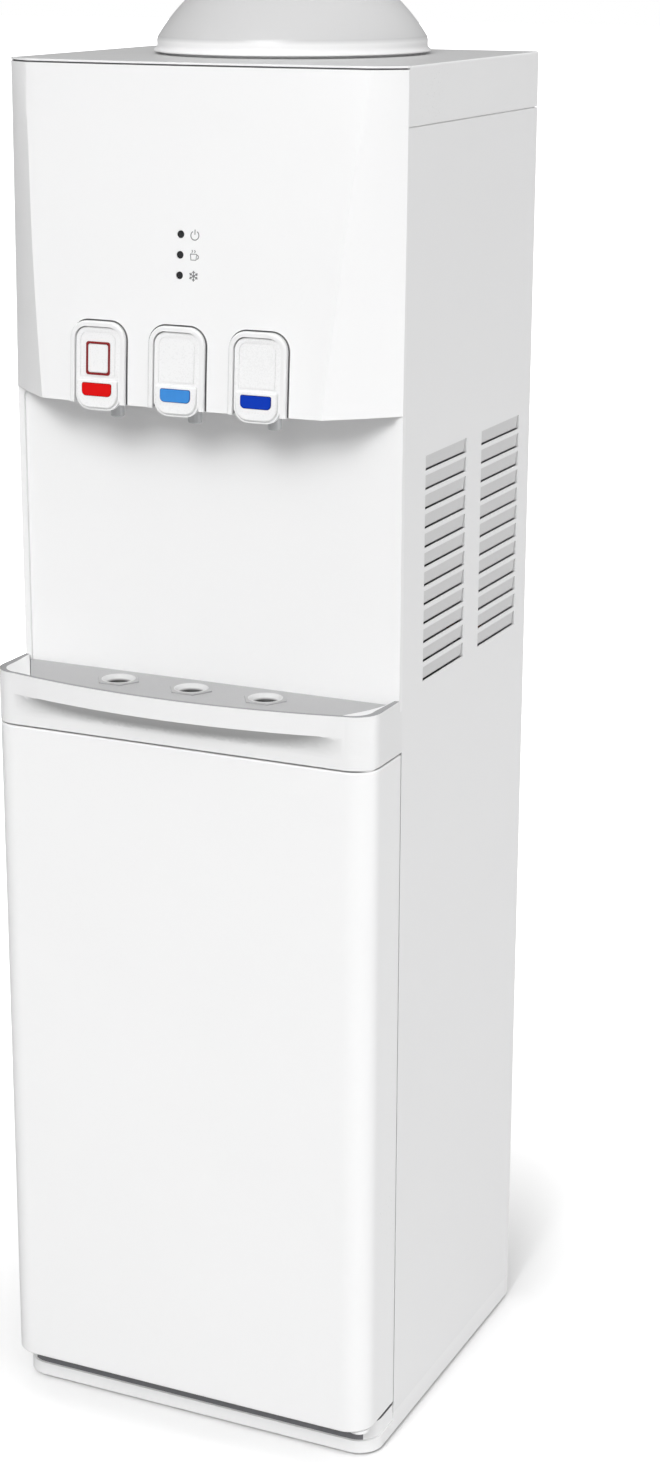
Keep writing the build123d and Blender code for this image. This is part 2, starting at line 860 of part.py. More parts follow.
# Condenser: a serpentine tube with wires welded across both of its faces
condenser_passes = 11
condenser_pitch = 42
condenser_rise = 76
condenser_bottom_z = side_bottom_z + condenser_rise
condenser_tube_radius = 2.4
wire_radius = 0.75
wire_count = 25
wire_gap = 0.05
wire_overhang = 12
condenser_y = overall_depth / 2 - condenser_tube_radius - 2 * wire_radius - wire_gap
condenser_bend = condenser_pitch / 2
pass_z = [condenser_bottom_z + index * condenser_pitch for index in range(condenser_passes)]
condenser_top_z = pass_z[-1]
tail_gap = 3
tail_clearance = 8.6
tail_x = side_x - flange_width - condenser_tube_radius - tail_gap
condenser_half = tail_x - condenser_bend - tail_clearance
tail_bend = 12
pipe_rise = 40
pipe_z = deck_z + pipe_rise
pipe_start_y = rear_inner_y - overrun
serpentine = []
for index in range(condenser_passes):
    heading = 1 if index % 2 == 0 else -1
    z = pass_z[index]
    serpentine.append(
        Line((-heading * condenser_half, condenser_y, z), (heading * condenser_half, condenser_y, z))
    )
    if index < condenser_passes - 1:
        serpentine.append(
            ThreePointArc(
                (heading * condenser_half, condenser_y, z),
                (heading * (condenser_half + condenser_bend), condenser_y, z + condenser_bend),
                (heading * condenser_half, condenser_y, z + condenser_pitch),
            )
        )
inlet = FilletPolyline(
    (condenser_half, condenser_y, condenser_top_z),
    (tail_x, condenser_y, condenser_top_z),
    (tail_x, condenser_y, pipe_z),
    (tail_x, pipe_start_y, pipe_z),
    radius=tail_bend,
)
outlet = FilletPolyline(
    (-condenser_half, condenser_y, condenser_bottom_z),
    (-tail_x, condenser_y, condenser_bottom_z),
    (-tail_x, condenser_y, pipe_z),
    (-tail_x, pipe_start_y, pipe_z),
    radius=tail_bend,
)
serpentine_edges = [edge for run in serpentine for edge in run.edges()]
condenser_path = Wire([*outlet.edges(), *serpentine_edges, *inlet.edges()])
tube_start = Plane(origin=condenser_path @ 0, z_dir=condenser_path % 0)
parts["condenser_tube"] = sweep(tube_start * Circle(condenser_tube_radius), path=condenser_path)
for x in (-tail_x, tail_x):
    rear_panel -= rod(
        condenser_tube_radius + fit, (x, rear_inner_y - overrun, pipe_z), (x, back_y + overrun, pipe_z)
    )
parts["rear_panel"] = rear_panel

wires = []
wire_pitch = 2 * condenser_half / (wire_count - 1)
for face in (-1, 1):
    wire_y = condenser_y + face * (condenser_tube_radius + wire_radius + wire_gap)
    for index in range(wire_count):
        x = -condenser_half + index * wire_pitch
        wires.append(
            post(
                wire_radius,
                x,
                wire_y,
                condenser_bottom_z - wire_overhang,
                condenser_top_z + wire_overhang,
            )
        )
parts["condenser_wires"] = group(wires)

# Condenser brackets: moulded clips screwed to the rear panel that hold the tube
clip_width = 6
clip_height = 16
clip_share = 0.875
clip_xs = [clip_share * condenser_half, -clip_share * condenser_half]
clips = []
for x in clip_xs:
    for z in (pass_z[1], pass_z[-2]):
        clip = block(
            x - clip_width / 2,
            x + clip_width / 2,
            rear_inner_y + steel,
            condenser_y + condenser_tube_radius,
            z - clip_height / 2,
            z + clip_height / 2,
        )
        clip -= rod(
            condenser_tube_radius + wire_gap,
            (x - clip_width, condenser_y, z),
            (x + clip_width, condenser_y, z),
        )
        clips.append(clip)
parts["condenser_brackets"] = group(clips)

# Compressor deck and tank shelf: folded steel shelves screwed between the sides
deck_tab = 14
shelf_front_y = flange_back_y + flange_width


def shelf_plate(top_z):
    plate = block(
        -side_inner_x, side_inner_x, shelf_front_y, rear_inner_y - fit, top_z - steel, top_z
    )
    for side in (-1, 1):
        inner = side * (side_inner_x - steel)
        outer = side * side_inner_x
        plate += block(
            min(inner, outer),
            max(inner, outer),
            shelf_front_y,
            rear_inner_y - fit,
            top_z - deck_tab / 2,
            top_z,
        )
    return plate


parts["compressor_deck"] = shelf_plate(deck_z)

# Compressor: a welded steel shell on a foot plate, four rubber mounts and bolts
shell_radius = 56
shell_rise = 26
shell_height = 150
shell_dome = 24
shell_floor_share = 0.55
shell_shoulder_share = 0.8
shell_crown_share = 0.4
shell_wall = 3.5
motor_radius = 34
foot_plate_half_y = 50
compressor_rear_gap = 67
compressor_y = rear_inner_y - foot_plate_half_y - compressor_rear_gap
shell_bottom_z = deck_z + shell_rise
foot_plate_thickness = 3
grommet_height = 15
grommet_radius = 8
grommet_inset = 12
bolt_radius = 3
bolt_head_radius = 5.5
bolt_head_height = 4

foot_plate_z = deck_z + grommet_height
shell_top_z = shell_bottom_z + shell_height
shell_outline = [
    (0, shell_bottom_z - shell_dome / 2),
    (shell_radius * shell_floor_share, shell_bottom_z - shell_dome / 2),
    (shell_radius, shell_bottom_z + shell_dome / 3),
    (shell_radius, shell_top_z - shell_dome),
    (shell_radius * shell_shoulder_share, shell_top_z - shell_dome / 4),
    (shell_radius * shell_crown_share, shell_top_z),
    (0, shell_top_z),
]
compressor = turned(shell_outline, compressor_x, compressor_y)
seam_band = 3
compressor += post(
    shell_radius + seam_band,
    compressor_x,
    compressor_y,
    (shell_bottom_z + shell_top_z) / 2,
    (shell_bottom_z + shell_top_z) / 2 + 2 * seam_band,
)
motor_room = post(
    shell_radius - shell_wall,
    compressor_x,
    compressor_y,
    shell_bottom_z + shell_dome / 3,
    shell_top_z - shell_dome,
)
compressor -= motor_room - post(
    motor_radius, compressor_x, compressor_y, shell_bottom_z, shell_top_z - 2 * shell_dome
)
compressor += block(
    compressor_x - foot_plate_half_x,
    compressor_x + foot_plate_half_x,
    compressor_y - foot_plate_half_y,
    compressor_y + foot_plate_half_y,
    foot_plate_z,
    foot_plate_z + foot_plate_thickness,
)
mount_places = [
    (
        compressor_x + sx * (foot_plate_half_x - grommet_inset),
        compressor_y + sy * (foot_plate_half_y - grommet_inset),
    )
    for sx in (-1, 1)
    for sy in (-1, 1)
]
grommets = []
bolts = []
deck = parts["compressor_deck"]
for x, y in mount_places:
    compressor -= post(
        bolt_radius + loose_fit, x, y, foot_plate_z - overrun, foot_plate_z + foot_plate_thickness + overrun
    )
    grommet = post(grommet_radius, x, y, deck_z, foot_plate_z)
    grommets.append(grommet - post(bolt_radius + fit, x, y, deck_z - overrun, foot_plate_z + overrun))
    head_z = foot_plate_z + foot_plate_thickness
    bolt = post(bolt_radius, x, y, deck_z - steel - bolt_head_height, head_z)
    bolts.append(bolt + post(bolt_head_radius, x, y, head_z, head_z + bolt_head_height))
    deck -= post(bolt_radius + fit, x, y, deck_z - overrun, deck_z + overrun)
parts["compressor_deck"] = deck
parts["compressor"] = compressor
parts["compressor_grommets"] = group(grommets)
parts["compressor_bolts"] = group(bolts)

# Cold tank: a stainless drum in foam, under the bottle seat, with its coil and lid
tank_y = seat_y
tank_radius = 72
tank_wall = 1.5
tank_rise = 28
tank_height = 134
foam_collar = 6
tank_bottom_z = shelf_z + tank_rise
tank_top_z = tank_bottom_z + tank_height
foam_radius = 96
foam_bottom_z = shelf_z
foam_top_z = tank_top_z + foam_collar
coil_tube_radius = 3
coil_turns = 7
coil_pitch = 12
coil_gap = 0.2
coil_radius = tank_radius + coil_tube_radius + coil_gap
foam_bore = coil_radius + coil_tube_radius + loose_fit
lid_thickness = 4
lid_bore = 36
tank_bevel = 6

tank_outline = [
    (0, tank_bottom_z),
    (tank_radius - tank_bevel, tank_bottom_z),
    (tank_radius, tank_bottom_z + tank_bevel),
    (tank_radius, tank_top_z),
    (0, tank_top_z),
]
tank_inside = [
    (0, tank_bottom_z + tank_wall),
    (tank_radius - tank_bevel, tank_bottom_z + tank_wall),
    (tank_radius - tank_wall, tank_bottom_z + tank_bevel),
    (tank_radius - tank_wall, tank_top_z + overrun),
    (0, tank_top_z + overrun),
]
cold_tank = turned(tank_outline, 0, tank_y) - turned(tank_inside, 0, tank_y)
parts["tank_shelf"] = shelf_plate(shelf_z)

foam = post(foam_radius, 0, tank_y, foam_bottom_z, foam_top_z)
foam -= post(foam_bore, 0, tank_y, tank_bottom_z, foam_top_z + overrun)
lid = post(foam_radius, 0, tank_y, foam_top_z, foam_top_z + lid_thickness)
lid += post(tank_radius - tank_wall - fit, 0, tank_y, tank_top_z, foam_top_z + lid_thickness)
lid += post(lid_bore + thick_wall, 0, tank_y, foam_top_z, foam_top_z + 2 * lid_thickness)
lid -= post(lid_bore, 0, tank_y, tank_top_z - overrun, foam_top_z + 3 * lid_thickness)
parts["tank_lid"] = lid

coil_height = coil_turns * coil_pitch
coil_bottom_z = tank_bottom_z + 2 * coil_pitch
coil = wound(coil_radius, coil_pitch, coil_turns, coil_tube_radius)
parts["evaporator_coil"] = Pos(0, tank_y, coil_bottom_z) * coil

# Hot tank: a small stainless drum in a jacket, on legs over the deck, with its heater
hot_tank_setback = 7
hot_tank_rise = 90
hot_tank_height = 120
hot_y = seat_y - hot_tank_setback
hot_bottom_z = deck_z + hot_tank_rise
hot_top_z = hot_bottom_z + hot_tank_height
jacket_cap = 8
heater_radius = 3.5
heater_half = 14
heater_flange_radius = 22
heater_flange = 6
heater_opening_share = 0.8

jacket_low_z = hot_bottom_z - jacket_cap
jacket_high_z = hot_top_z + jacket_cap
hot_tank = post(hot_radius, hot_x, hot_y, hot_bottom_z, hot_top_z)
hot_tank -= post(
    hot_radius - tank_wall, hot_x, hot_y, hot_bottom_z + tank_wall, hot_top_z - tank_wall
)
hot_tank -= post(
    heater_flange_radius * heater_opening_share,
    hot_x,
    hot_y,
    hot_bottom_z - overrun,
    hot_bottom_z + 2 * tank_wall,
)
jacket = post(hot_half, hot_x, hot_y, jacket_low_z, jacket_high_z)
jacket -= post(hot_radius + fit, hot_x, hot_y, hot_bottom_z, hot_top_z)
jacket -= post(
    heater_flange_radius + fit, hot_x, hot_y, jacket_low_z - overrun, hot_bottom_z + overrun
)
heater = post(heater_flange_radius, hot_x, hot_y, hot_bottom_z - heater_flange, hot_bottom_z)
heater_top_z = hot_top_z - heater_half - 3 * jacket_cap
for side in (-1, 1):
    heater += post(
        heater_radius, hot_x + side * heater_half, hot_y, hot_bottom_z - heater_flange, heater_top_z
    )
arc_outer = post(heater_half + heater_radius, 0, 0, -heater_radius, heater_radius)
arc_inner = post(heater_half - heater_radius, 0, 0, -heater_radius - overrun, heater_radius + overrun)
crook = (arc_outer - arc_inner) - block(
    -2 * heater_half, 2 * heater_half, -2 * heater_half, 0, -heater_half, heater_half
)
heater += crook.moved(Location((hot_x, hot_y, heater_top_z), (90, 0, 0)))
parts["hot_tank_heater"] = heater

leg_radius = 4
leg_circle = hot_radius - leg_radius
leg_count = 3
ring_height = 4
stand = post(hot_radius + hot_jacket, hot_x, hot_y, jacket_low_z - ring_height, jacket_low_z)
stand -= post(
    heater_flange_radius + 2 * fit, hot_x, hot_y, jacket_low_z - ring_height - overrun, jacket_low_z + overrun
)
for index in range(leg_count):
    angle = pi * (2 * index + 1) / leg_count
    stand += post(
        leg_radius,
        hot_x + leg_circle * cos(angle),
        hot_y + leg_circle * sin(angle),
        deck_z,
        jacket_low_z,
    )

# Taps: bezel, paddle, colour mark, valve body with its nozzle, stem and spring
pivot_w = 46
pivot_depth = 4
pivot_radius = 2
pivot_clearance = 0.2
paddle_half = 17.8
paddle_bottom = -5
paddle_top = 53.7
paddle_top_round = 9
paddle_bottom_round = 11
paddle_thickness = 3
chin_top = 17
chin_proud = 3.5
arm_width = 9
arm_height = 4
fork_gap = 0.5
stem_radius = 2
collar_radius = 6
collar_height = 2
collar_gap = 0.1
washer_radius = 5
washer_height = 3.5
valve_radius = 11
valve_wall = 2.5
valve_floor_z = head_bottom_z + wall + fit
chamber_rise = 8
chamber_height = 24
valve_cap = 4
nozzle_drop = 14
nozzle_bore = 3.2
inlet_radius = 4
inlet_bore = 2.5
inlet_reach = 22
inlet_rise = 14
chamber_low_z = head_bottom_z + chamber_rise
chamber_high_z = chamber_low_z + chamber_height
valve_top_z = chamber_high_z + valve_cap
nozzle_bottom_z = head_bottom_z - nozzle_drop
inlet_z = chamber_low_z + inlet_rise
spring_radius = 5.2
spring_wire = 0.6
spring_turns = 6

tilt = tap_tilt * pi / 180
pivot_y = tap_face_y + pivot_depth * cos(tilt) + pivot_w * sin(tilt)
pivot_z = head_bottom_z + pivot_w * cos(tilt) - pivot_depth * sin(tilt)

inner_half = bezel_half - bezel_rim
inner_top = bezel_top - bezel_rim
sleeve_half = opening_half - fit
sleeve_top = opening_top - fit
sleeve_round = opening_round - fit
bezel_outer = arch(bezel_half, 0, bezel_top, bezel_round)
bezel_hole = arch(inner_half, -overrun, inner_top, bezel_round - bezel_rim)
bezel_sink = 3
bezel = tap_solid(bezel_outer, -bezel_sink, bezel_proud) - tap_solid(
    bezel_hole, -bezel_sleeve_depth, bezel_proud + overrun
)
front_arc = bezel.edges().filter_by(lambda e: abs(e.center().Y + bezel_proud) < fit / 2)
outer_arc = front_arc.filter_by(
    lambda e: e.center().Z > 0 and (abs(e.center().X) > inner_half + fit or e.center().Z > inner_top + fit)
)
bezel = fillet(outer_arc, edge_round)
sleeve = tap_solid(
    arch(sleeve_half, wall + fit, sleeve_top, sleeve_round), -bezel_sleeve_depth, bezel_proud / 2
)
sleeve -= tap_solid(bezel_hole, -bezel_sleeve_depth - overrun, bezel_proud)
pivot_hole = rod(
    pivot_radius + pivot_clearance,
    (-opening_half, pivot_depth, pivot_w),
    (opening_half, pivot_depth, pivot_w),
)
sleeve -= pivot_hole
face_clearance = Pos(0, -fit, 0) * head_body(0, head_rear_y)
face_clearance_below = Pos(0, 0, -overrun) * face_clearance

paddle_outline = arch(paddle_half, paddle_bottom, paddle_top, paddle_top_round, paddle_bottom_round)
paddle = tap_solid(paddle_outline, -paddle_thickness / 2, paddle_thickness / 2)
chin_outline = arch(
    paddle_half - edge_round,
    paddle_bottom + edge_round,
    chin_top,
    edge_round,
    paddle_bottom_round - edge_round,
)
paddle += tap_solid(chin_outline, 0, chin_proud)
chin_rim = paddle.edges().filter_by(lambda e: abs(e.center().Y + chin_proud) < fit / 2)
paddle = fillet(chin_rim, edge_round)
trunnion_reach = sleeve_half - fit
paddle += rod(
    pivot_radius, (-trunnion_reach, pivot_depth, pivot_w), (trunnion_reach, pivot_depth, pivot_w)
)
field_inset = 3.4
field_half = paddle_half - field_inset
field_top = paddle_top - field_inset
field_round = paddle_top_round - field_inset
field_bottom = chin_top + groove_width
field_line = arch(field_half, field_bottom, field_top, field_round)
field_line -= arch(
    field_half - groove_width,
    field_bottom + groove_width,
    field_top - groove_width,
    field_round - groove_width,
)
paddle -= tap_solid(field_line, paddle_thickness / 2 - groove_depth / 2, paddle_thickness)
hub_half = 14
hub_height = 6
hub_outline = Pos(0, pivot_w) * Rectangle(2 * hub_half, hub_height)
paddle += tap_solid(hub_outline, -pivot_depth - pivot_radius, 0)

mark_half = 12
mark_bottom = 5
mark_top = 14.5
mark_sink = 0.8
mark_proud = 0.5
mark_round = 3.5
mark_outline = arch(mark_half, mark_bottom, mark_top, edge_round, mark_round)
paddle -= tap_solid(mark_outline, chin_proud - mark_sink, chin_proud + overrun)
mark = tap_solid(mark_outline, chin_proud - mark_sink, chin_proud + mark_proud)

arm_root_y = pivot_y - pivot_depth / 2
arm_tip_y = nozzle_y + arm_height / 2
arm_solid = block(
    -arm_width / 2, arm_width / 2, arm_root_y, nozzle_y, pivot_z - arm_height / 2, pivot_z + arm_height / 2
)
arm_solid += rod(arm_height / 2, (-arm_width / 2, nozzle_y, pivot_z), (arm_width / 2, nozzle_y, pivot_z))
fork_slot = block(
    -stem_radius - fork_gap,
    stem_radius + fork_gap,
    nozzle_y - stem_radius - fork_gap,
    arm_tip_y + overrun,
    pivot_z - arm_height,
    pivot_z + arm_height,
)
arm_solid -= fork_slot

collar_low_z = pivot_z + arm_height / 2 + collar_gap
stem_top_z = collar_low_z + collar_height + collar_height
stem = post(stem_radius, 0, nozzle_y, chamber_low_z, stem_top_z)
stem += post(collar_radius, 0, nozzle_y, collar_low_z, collar_low_z + collar_height)
stem += post(washer_radius, 0, nozzle_y, chamber_low_z, chamber_low_z + washer_height)

valve = post(valve_radius, 0, nozzle_y, valve_floor_z, valve_top_z)
nozzle = post(nozzle_radius, 0, nozzle_y, nozzle_bottom_z, valve_floor_z)
valve += fillet(nozzle.edges().group_by(Axis.Z)[0], edge_round)
valve += rod(inlet_radius, (0, nozzle_y, inlet_z), (0, nozzle_y + inlet_reach, inlet_z))
valve -= post(valve_radius - valve_wall, 0, nozzle_y, chamber_low_z, chamber_high_z)
valve -= post(nozzle_bore, 0, nozzle_y, nozzle_bottom_z - overrun, chamber_low_z)
valve -= post(stem_radius + fit, 0, nozzle_y, chamber_high_z - overrun, valve_top_z + overrun)
valve -= rod(inlet_bore, (0, nozzle_y, inlet_z), (0, nozzle_y + inlet_reach + overrun, inlet_z))

spring_low_z = chamber_low_z + washer_height + spring_wire + coil_gap
spring_high_z = chamber_high_z - spring_wire - coil_gap
spring_height = spring_high_z - spring_low_z
spring_coil = wound(spring_radius, spring_height / spring_turns, spring_turns, spring_wire)
spring = Pos(0, nozzle_y, spring_low_z) * spring_coil

# Child lock on the hot tap: a framed button that slides into the paddle
lock_half = 8.2
lock_bottom = 21.5
lock_top = 42
lock_round = 2
ring_width = 1.5
ring_proud = 0.4
button_proud = 0.3
button_flange = 1.5
button_flange_thickness = 1.2
lock_window = arch(lock_half, lock_bottom, lock_top, lock_round, lock_round)
lock_ring_outline = arch(
    lock_half + ring_width, lock_bottom - ring_width, lock_top + ring_width, lock_round, lock_round
)
lock_button_outline = arch(
    lock_half - fit, lock_bottom + fit, lock_top - fit, lock_round - fit, lock_round - fit
)
lock_flange_outline = arch(
    lock_half + button_flange, lock_bottom - button_flange, lock_top, lock_round, lock_round
)
plate_face = paddle_thickness / 2
lock_ring = tap_solid(lock_ring_outline, plate_face, plate_face + ring_proud) - tap_solid(
    lock_window, 0, plate_face + overrun
)
lock_button = tap_solid(lock_button_outline, -plate_face - fit, plate_face + button_proud)
lock_button += tap_solid(
    lock_flange_outline, -plate_face - fit - button_flange_thickness, -plate_face - fit
)
window_cut = tap_solid(lock_window, -plate_face - overrun, plate_face + overrun)

tap_bezels = []
tap_valves = []
springs = []
for name, x in zip(tap_names, tap_xs):
    this_paddle = on_tap(paddle - window_cut if name == "hot" else paddle, x)
    parts["tap_paddle_" + name] = this_paddle + Pos(x, 0, 0) * arm_solid
    parts["tap_mark_" + name] = on_tap(mark, x)
    parts["valve_stem_" + name] = Pos(x, 0, 0) * stem
    springs.append(Pos(x, 0, 0) * spring)
    tap_bezels.append(on_tap(bezel, x) - face_clearance - face_clearance_below + on_tap(sleeve, x))
    tap_valves.append(Pos(x, 0, 0) * valve)
parts["tap_bezels"] = group(tap_bezels)
parts["tap_valves"] = group(tap_valves)
parts["valve_springs"] = group(springs)
parts["child_lock_ring"] = on_tap(lock_ring, tap_xs[0])
parts["child_lock_button"] = on_tap(lock_button, tap_xs[0])

# Lights: clear lenses in the head and the small board behind them
lens_radius = light_hole_radius - fit / 2
lens_flange_radius = 3.6
lens_flange = 1
lenses = []
for z, y in zip(light_z, light_face_ys):
    lens = rod(lens_radius, (0, y, z), (0, y + lens_length, z))
    lens += rod(lens_flange_radius, (0, y + lens_length - lens_flange, z), (0, y + lens_length, z))
    lenses.append(lens)
parts["light_lenses"] = group(lenses)
parts["light_board"] = block(
    -board_half,
    board_half,
    board_y,
    board_y + board_thickness,
    light_z[0] - board_margin,
    light_z[-1] + board_margin,
)

# Bottle seat: a domed collar with a funnel and a neck bore, loose on the top cover
seat_lip_rise = 1.8
seat_lip_height = 1.2
seat_flare_height = 5
seat_standing_radius = 98
seat_band_radius = 100
seat_band_height = 11.5
seat_shoulder_radius = 88
seat_shoulder_height = 28
seat_rim_radius = 68
seat_rim_height = 48
seat_rim_width = 5
neck_radius = 29.5
funnel_floor_height = 10
seat_band_top_z = cabinet_height + seat_band_height
seat_shoulder_z = cabinet_height + seat_shoulder_height
seat_rim_z = cabinet_height + seat_rim_height
funnel_bottom_z = cabinet_height + funnel_floor_height
seat_lip_z = cabinet_height + seat_lip_rise
seat_lip_top_z = seat_lip_z + seat_lip_height
seat_flare_z = cabinet_height + seat_flare_height
neck_bottom_z = foam_top_z + lid_thickness
seat_wall = wall
seat_skirt_radius = cover_hole_radius - loose_fit
seat_skirt_depth = 8

seat_outline = make_face(
    [
        Line((neck_radius, 0, neck_bottom_z), (neck_radius, 0, funnel_bottom_z)),
        Line((neck_radius, 0, funnel_bottom_z), (seat_rim_radius - seat_rim_width, 0, seat_rim_z)),
        Line(
            (seat_rim_radius - seat_rim_width, 0, seat_rim_z), (seat_rim_radius, 0, seat_rim_z)
        ),
        ThreePointArc(
            (seat_rim_radius, 0, seat_rim_z),
            (seat_shoulder_radius, 0, seat_shoulder_z),
            (seat_band_radius, 0, seat_band_top_z),
        ),
        Line((seat_band_radius, 0, seat_band_top_z), (seat_band_radius, 0, seat_flare_z)),
        Line((seat_band_radius, 0, seat_flare_z), (seat_foot_radius, 0, seat_lip_top_z)),
        Line((seat_foot_radius, 0, seat_lip_top_z), (seat_foot_radius, 0, seat_lip_z)),
        Line((seat_foot_radius, 0, seat_lip_z), (seat_standing_radius, 0, seat_lip_z)),
        Line((seat_standing_radius, 0, seat_lip_z), (seat_standing_radius, 0, cabinet_height)),
        Line((seat_standing_radius, 0, cabinet_height), (seat_skirt_radius, 0, cabinet_height)),
        Line(
            (seat_skirt_radius, 0, cabinet_height),
            (seat_skirt_radius, 0, cabinet_height - seat_skirt_depth),
        ),
        Line(
            (seat_skirt_radius, 0, cabinet_height - seat_skirt_depth),
            (seat_skirt_radius - seat_wall, 0, cabinet_height - seat_skirt_depth),
        ),
        Line(
            (seat_skirt_radius - seat_wall, 0, cabinet_height - seat_skirt_depth),
            (seat_skirt_radius - seat_wall, 0, seat_band_top_z - seat_wall),
        ),
        ThreePointArc(
            (seat_skirt_radius - seat_wall, 0, seat_band_top_z - seat_wall),
            (seat_shoulder_radius - 2 * seat_wall, 0, seat_shoulder_z - seat_wall),
            (seat_rim_radius - seat_wall, 0, seat_rim_z - 2 * seat_wall),
        ),
        Line(
            (seat_rim_radius - seat_wall, 0, seat_rim_z - 2 * seat_wall),
            (neck_radius + seat_wall, 0, funnel_bottom_z - seat_wall / 2),
        ),
        Line(
            (neck_radius + seat_wall, 0, funnel_bottom_z - seat_wall / 2),
            (neck_radius + seat_wall, 0, neck_bottom_z),
        ),
        Line((neck_radius + seat_wall, 0, neck_bottom_z), (neck_radius, 0, neck_bottom_z)),
    ]
)
seat = Pos(0, seat_y, 0) * revolve(seat_outline, Axis.Z)
spoke_count = 3
spoke_width = 4
spoke_height = 6
hub_radius = 8
for index in range(spoke_count):
    angle = 360 / spoke_count * index
    spoke = block(
        hub_radius - seat_wall,
        neck_radius + seat_wall / 2,
        -spoke_width / 2,
        spoke_width / 2,
        neck_bottom_z,
        neck_bottom_z + spoke_height,
    )
    seat += Location((0, seat_y, 0), (0, 0, angle)) * spoke
seat += post(hub_radius + seat_wall, 0, seat_y, neck_bottom_z, neck_bottom_z + spoke_height)
seat -= post(
    hub_radius + fit, 0, seat_y, neck_bottom_z - overrun, neck_bottom_z + spoke_height + overrun
)
parts["bottle_seat"] = seat

# Feed probe: a hollow spike on the seat's spokes that opens the bottle's cap
probe_bore = 5
probe_flange_radius = 10
probe_flange = 2
probe_sink = 10
probe_point = 14
probe_top_z = seat_rim_z - probe_sink
probe_shoulder_z = probe_top_z - probe_point
probe_slot_width = 4
probe_slot_height = 12
probe_base_z = neck_bottom_z + spoke_height
probe = turned(
    [
        (probe_bore, neck_bottom_z),
        (hub_radius, neck_bottom_z),
        (hub_radius, probe_base_z),
        (probe_flange_radius, probe_base_z),
        (probe_flange_radius, probe_base_z + probe_flange),
        (hub_radius, probe_base_z + probe_flange),
        (hub_radius, probe_shoulder_z),
        (0, probe_top_z),
        (0, probe_top_z - probe_flange),
        (probe_bore, probe_shoulder_z - probe_flange),
    ],
    0,
    seat_y,
)
for angle in (0, 90):
    slot = block(
        -2 * hub_radius,
        2 * hub_radius,
        -probe_slot_width / 2,
        probe_slot_width / 2,
        probe_shoulder_z - probe_slot_height,
        probe_shoulder_z - probe_slot_height / 2,
    )
    probe -= Location((0, seat_y, 0), (0, 0, angle)) * slot
parts["bottle_probe"] = probe

# Rear switches: a frame that holds two rockers
frame_margin = 4
frame_proud = 2
frame_bar = 3
rocker_half = 6
rocker_half_height = 9
rocker_proud = 2.5
rocker_axis_sink = 3
frame_left = switch_middle_x - switch_frame_width / 2
frame_right = switch_middle_x + switch_frame_width / 2
frame_low = switch_z - switch_cut_height / 2
frame_high = switch_z + switch_cut_height / 2
frame_face_y = rear_inner_y + steel + frame_proud
switch_frame = block(
    frame_left - frame_margin,
    frame_right + frame_margin,
    rear_inner_y + steel,
    frame_face_y,
    frame_low - frame_margin,
    frame_high + frame_margin,
)
switch_depth = 16
switch_frame += block(
    frame_left + fit,
    frame_right - fit,
    rear_inner_y - switch_depth,
    rear_inner_y + steel,
    frame_low + fit,
    frame_high - fit,
)
rocker_play = 0.6
rocker_y = frame_face_y - rocker_axis_sink
rocker_radius = sqrt(rocker_half_height ** 2 + (rocker_axis_sink + rocker_proud) ** 2)
for x in switch_xs:
    switch_frame -= rod(
        rocker_radius + rocker_play,
        (x - rocker_half - rocker_play, rocker_y, switch_z),
        (x + rocker_half + rocker_play, rocker_y, switch_z),
    )
    switch_frame -= rod(
        pivot_radius / 2 + pivot_clearance,
        (x - rocker_half - frame_bar, rocker_y, switch_z),
        (x + rocker_half + frame_bar, rocker_y, switch_z),
    )
parts["switch_frame"] = switch_frame
rocker_root_share = 0.7
rocker_root_y = frame_face_y - 2 * rocker_axis_sink
rocker_outline = [
    (rocker_root_y, switch_z - rocker_half_height * rocker_root_share),
    (frame_face_y, switch_z - rocker_half_height),
    (frame_face_y + rocker_proud, switch_z - rocker_half_height),
    (frame_face_y, switch_z),
    (frame_face_y, switch_z + rocker_half_height),
    (rocker_root_y, switch_z + rocker_half_height * rocker_root_share),
]
for name, x in zip(("heat", "cool"), switch_xs):
    rocker = profile_x(rocker_outline, x - rocker_half, x + rocker_half)
    rocker += rod(
        pivot_radius / 2,
        (x - rocker_half - frame_bar + fit, rocker_y, switch_z),
        (x + rocker_half + frame_bar - fit, rocker_y, switch_z),
    )
    parts["rocker_" + name] = rocker

# Drain: a spout from the hot tank through the rear panel, with a push-on cap
drain_bore = 5
drain_flange_radius = 13
drain_flange = 3
drain_reach = 12
drain_tail = 14
drain_start_y = rear_inner_y - drain_tail
cap_wall = 2
cap_grip = 14
drain = rod(drain_radius, (drain_x, drain_start_y, drain_z), (drain_x, back_y + drain_reach, drain_z))
drain += rod(
    drain_flange_radius,
    (drain_x, rear_inner_y - drain_flange, drain_z),
    (drain_x, rear_inner_y, drain_z),
)
drain -= rod(
    drain_bore,
    (drain_x, drain_start_y - overrun, drain_z),
    (drain_x, back_y + drain_reach + overrun, drain_z),
)
parts["drain_spout"] = drain
cap_inner = drain_radius + fit
cap_start_y = back_y + fit
cap_seat_y = back_y + drain_reach + fit
cap = rod(
    cap_inner + cap_wall, (drain_x, cap_start_y, drain_z), (drain_x, cap_seat_y + cap_wall, drain_z)
)
cap -= rod(cap_inner, (drain_x, cap_start_y - overrun, drain_z), (drain_x, cap_seat_y, drain_z))
grip_half = cap_wall / 2
cap += block(
    drain_x - cap_inner,
    drain_x + cap_inner,
    cap_seat_y,
    cap_seat_y + cap_wall + cap_grip / 2,
    drain_z - grip_half,
    drain_z + grip_half,
)
parts["drain_cap"] = cap

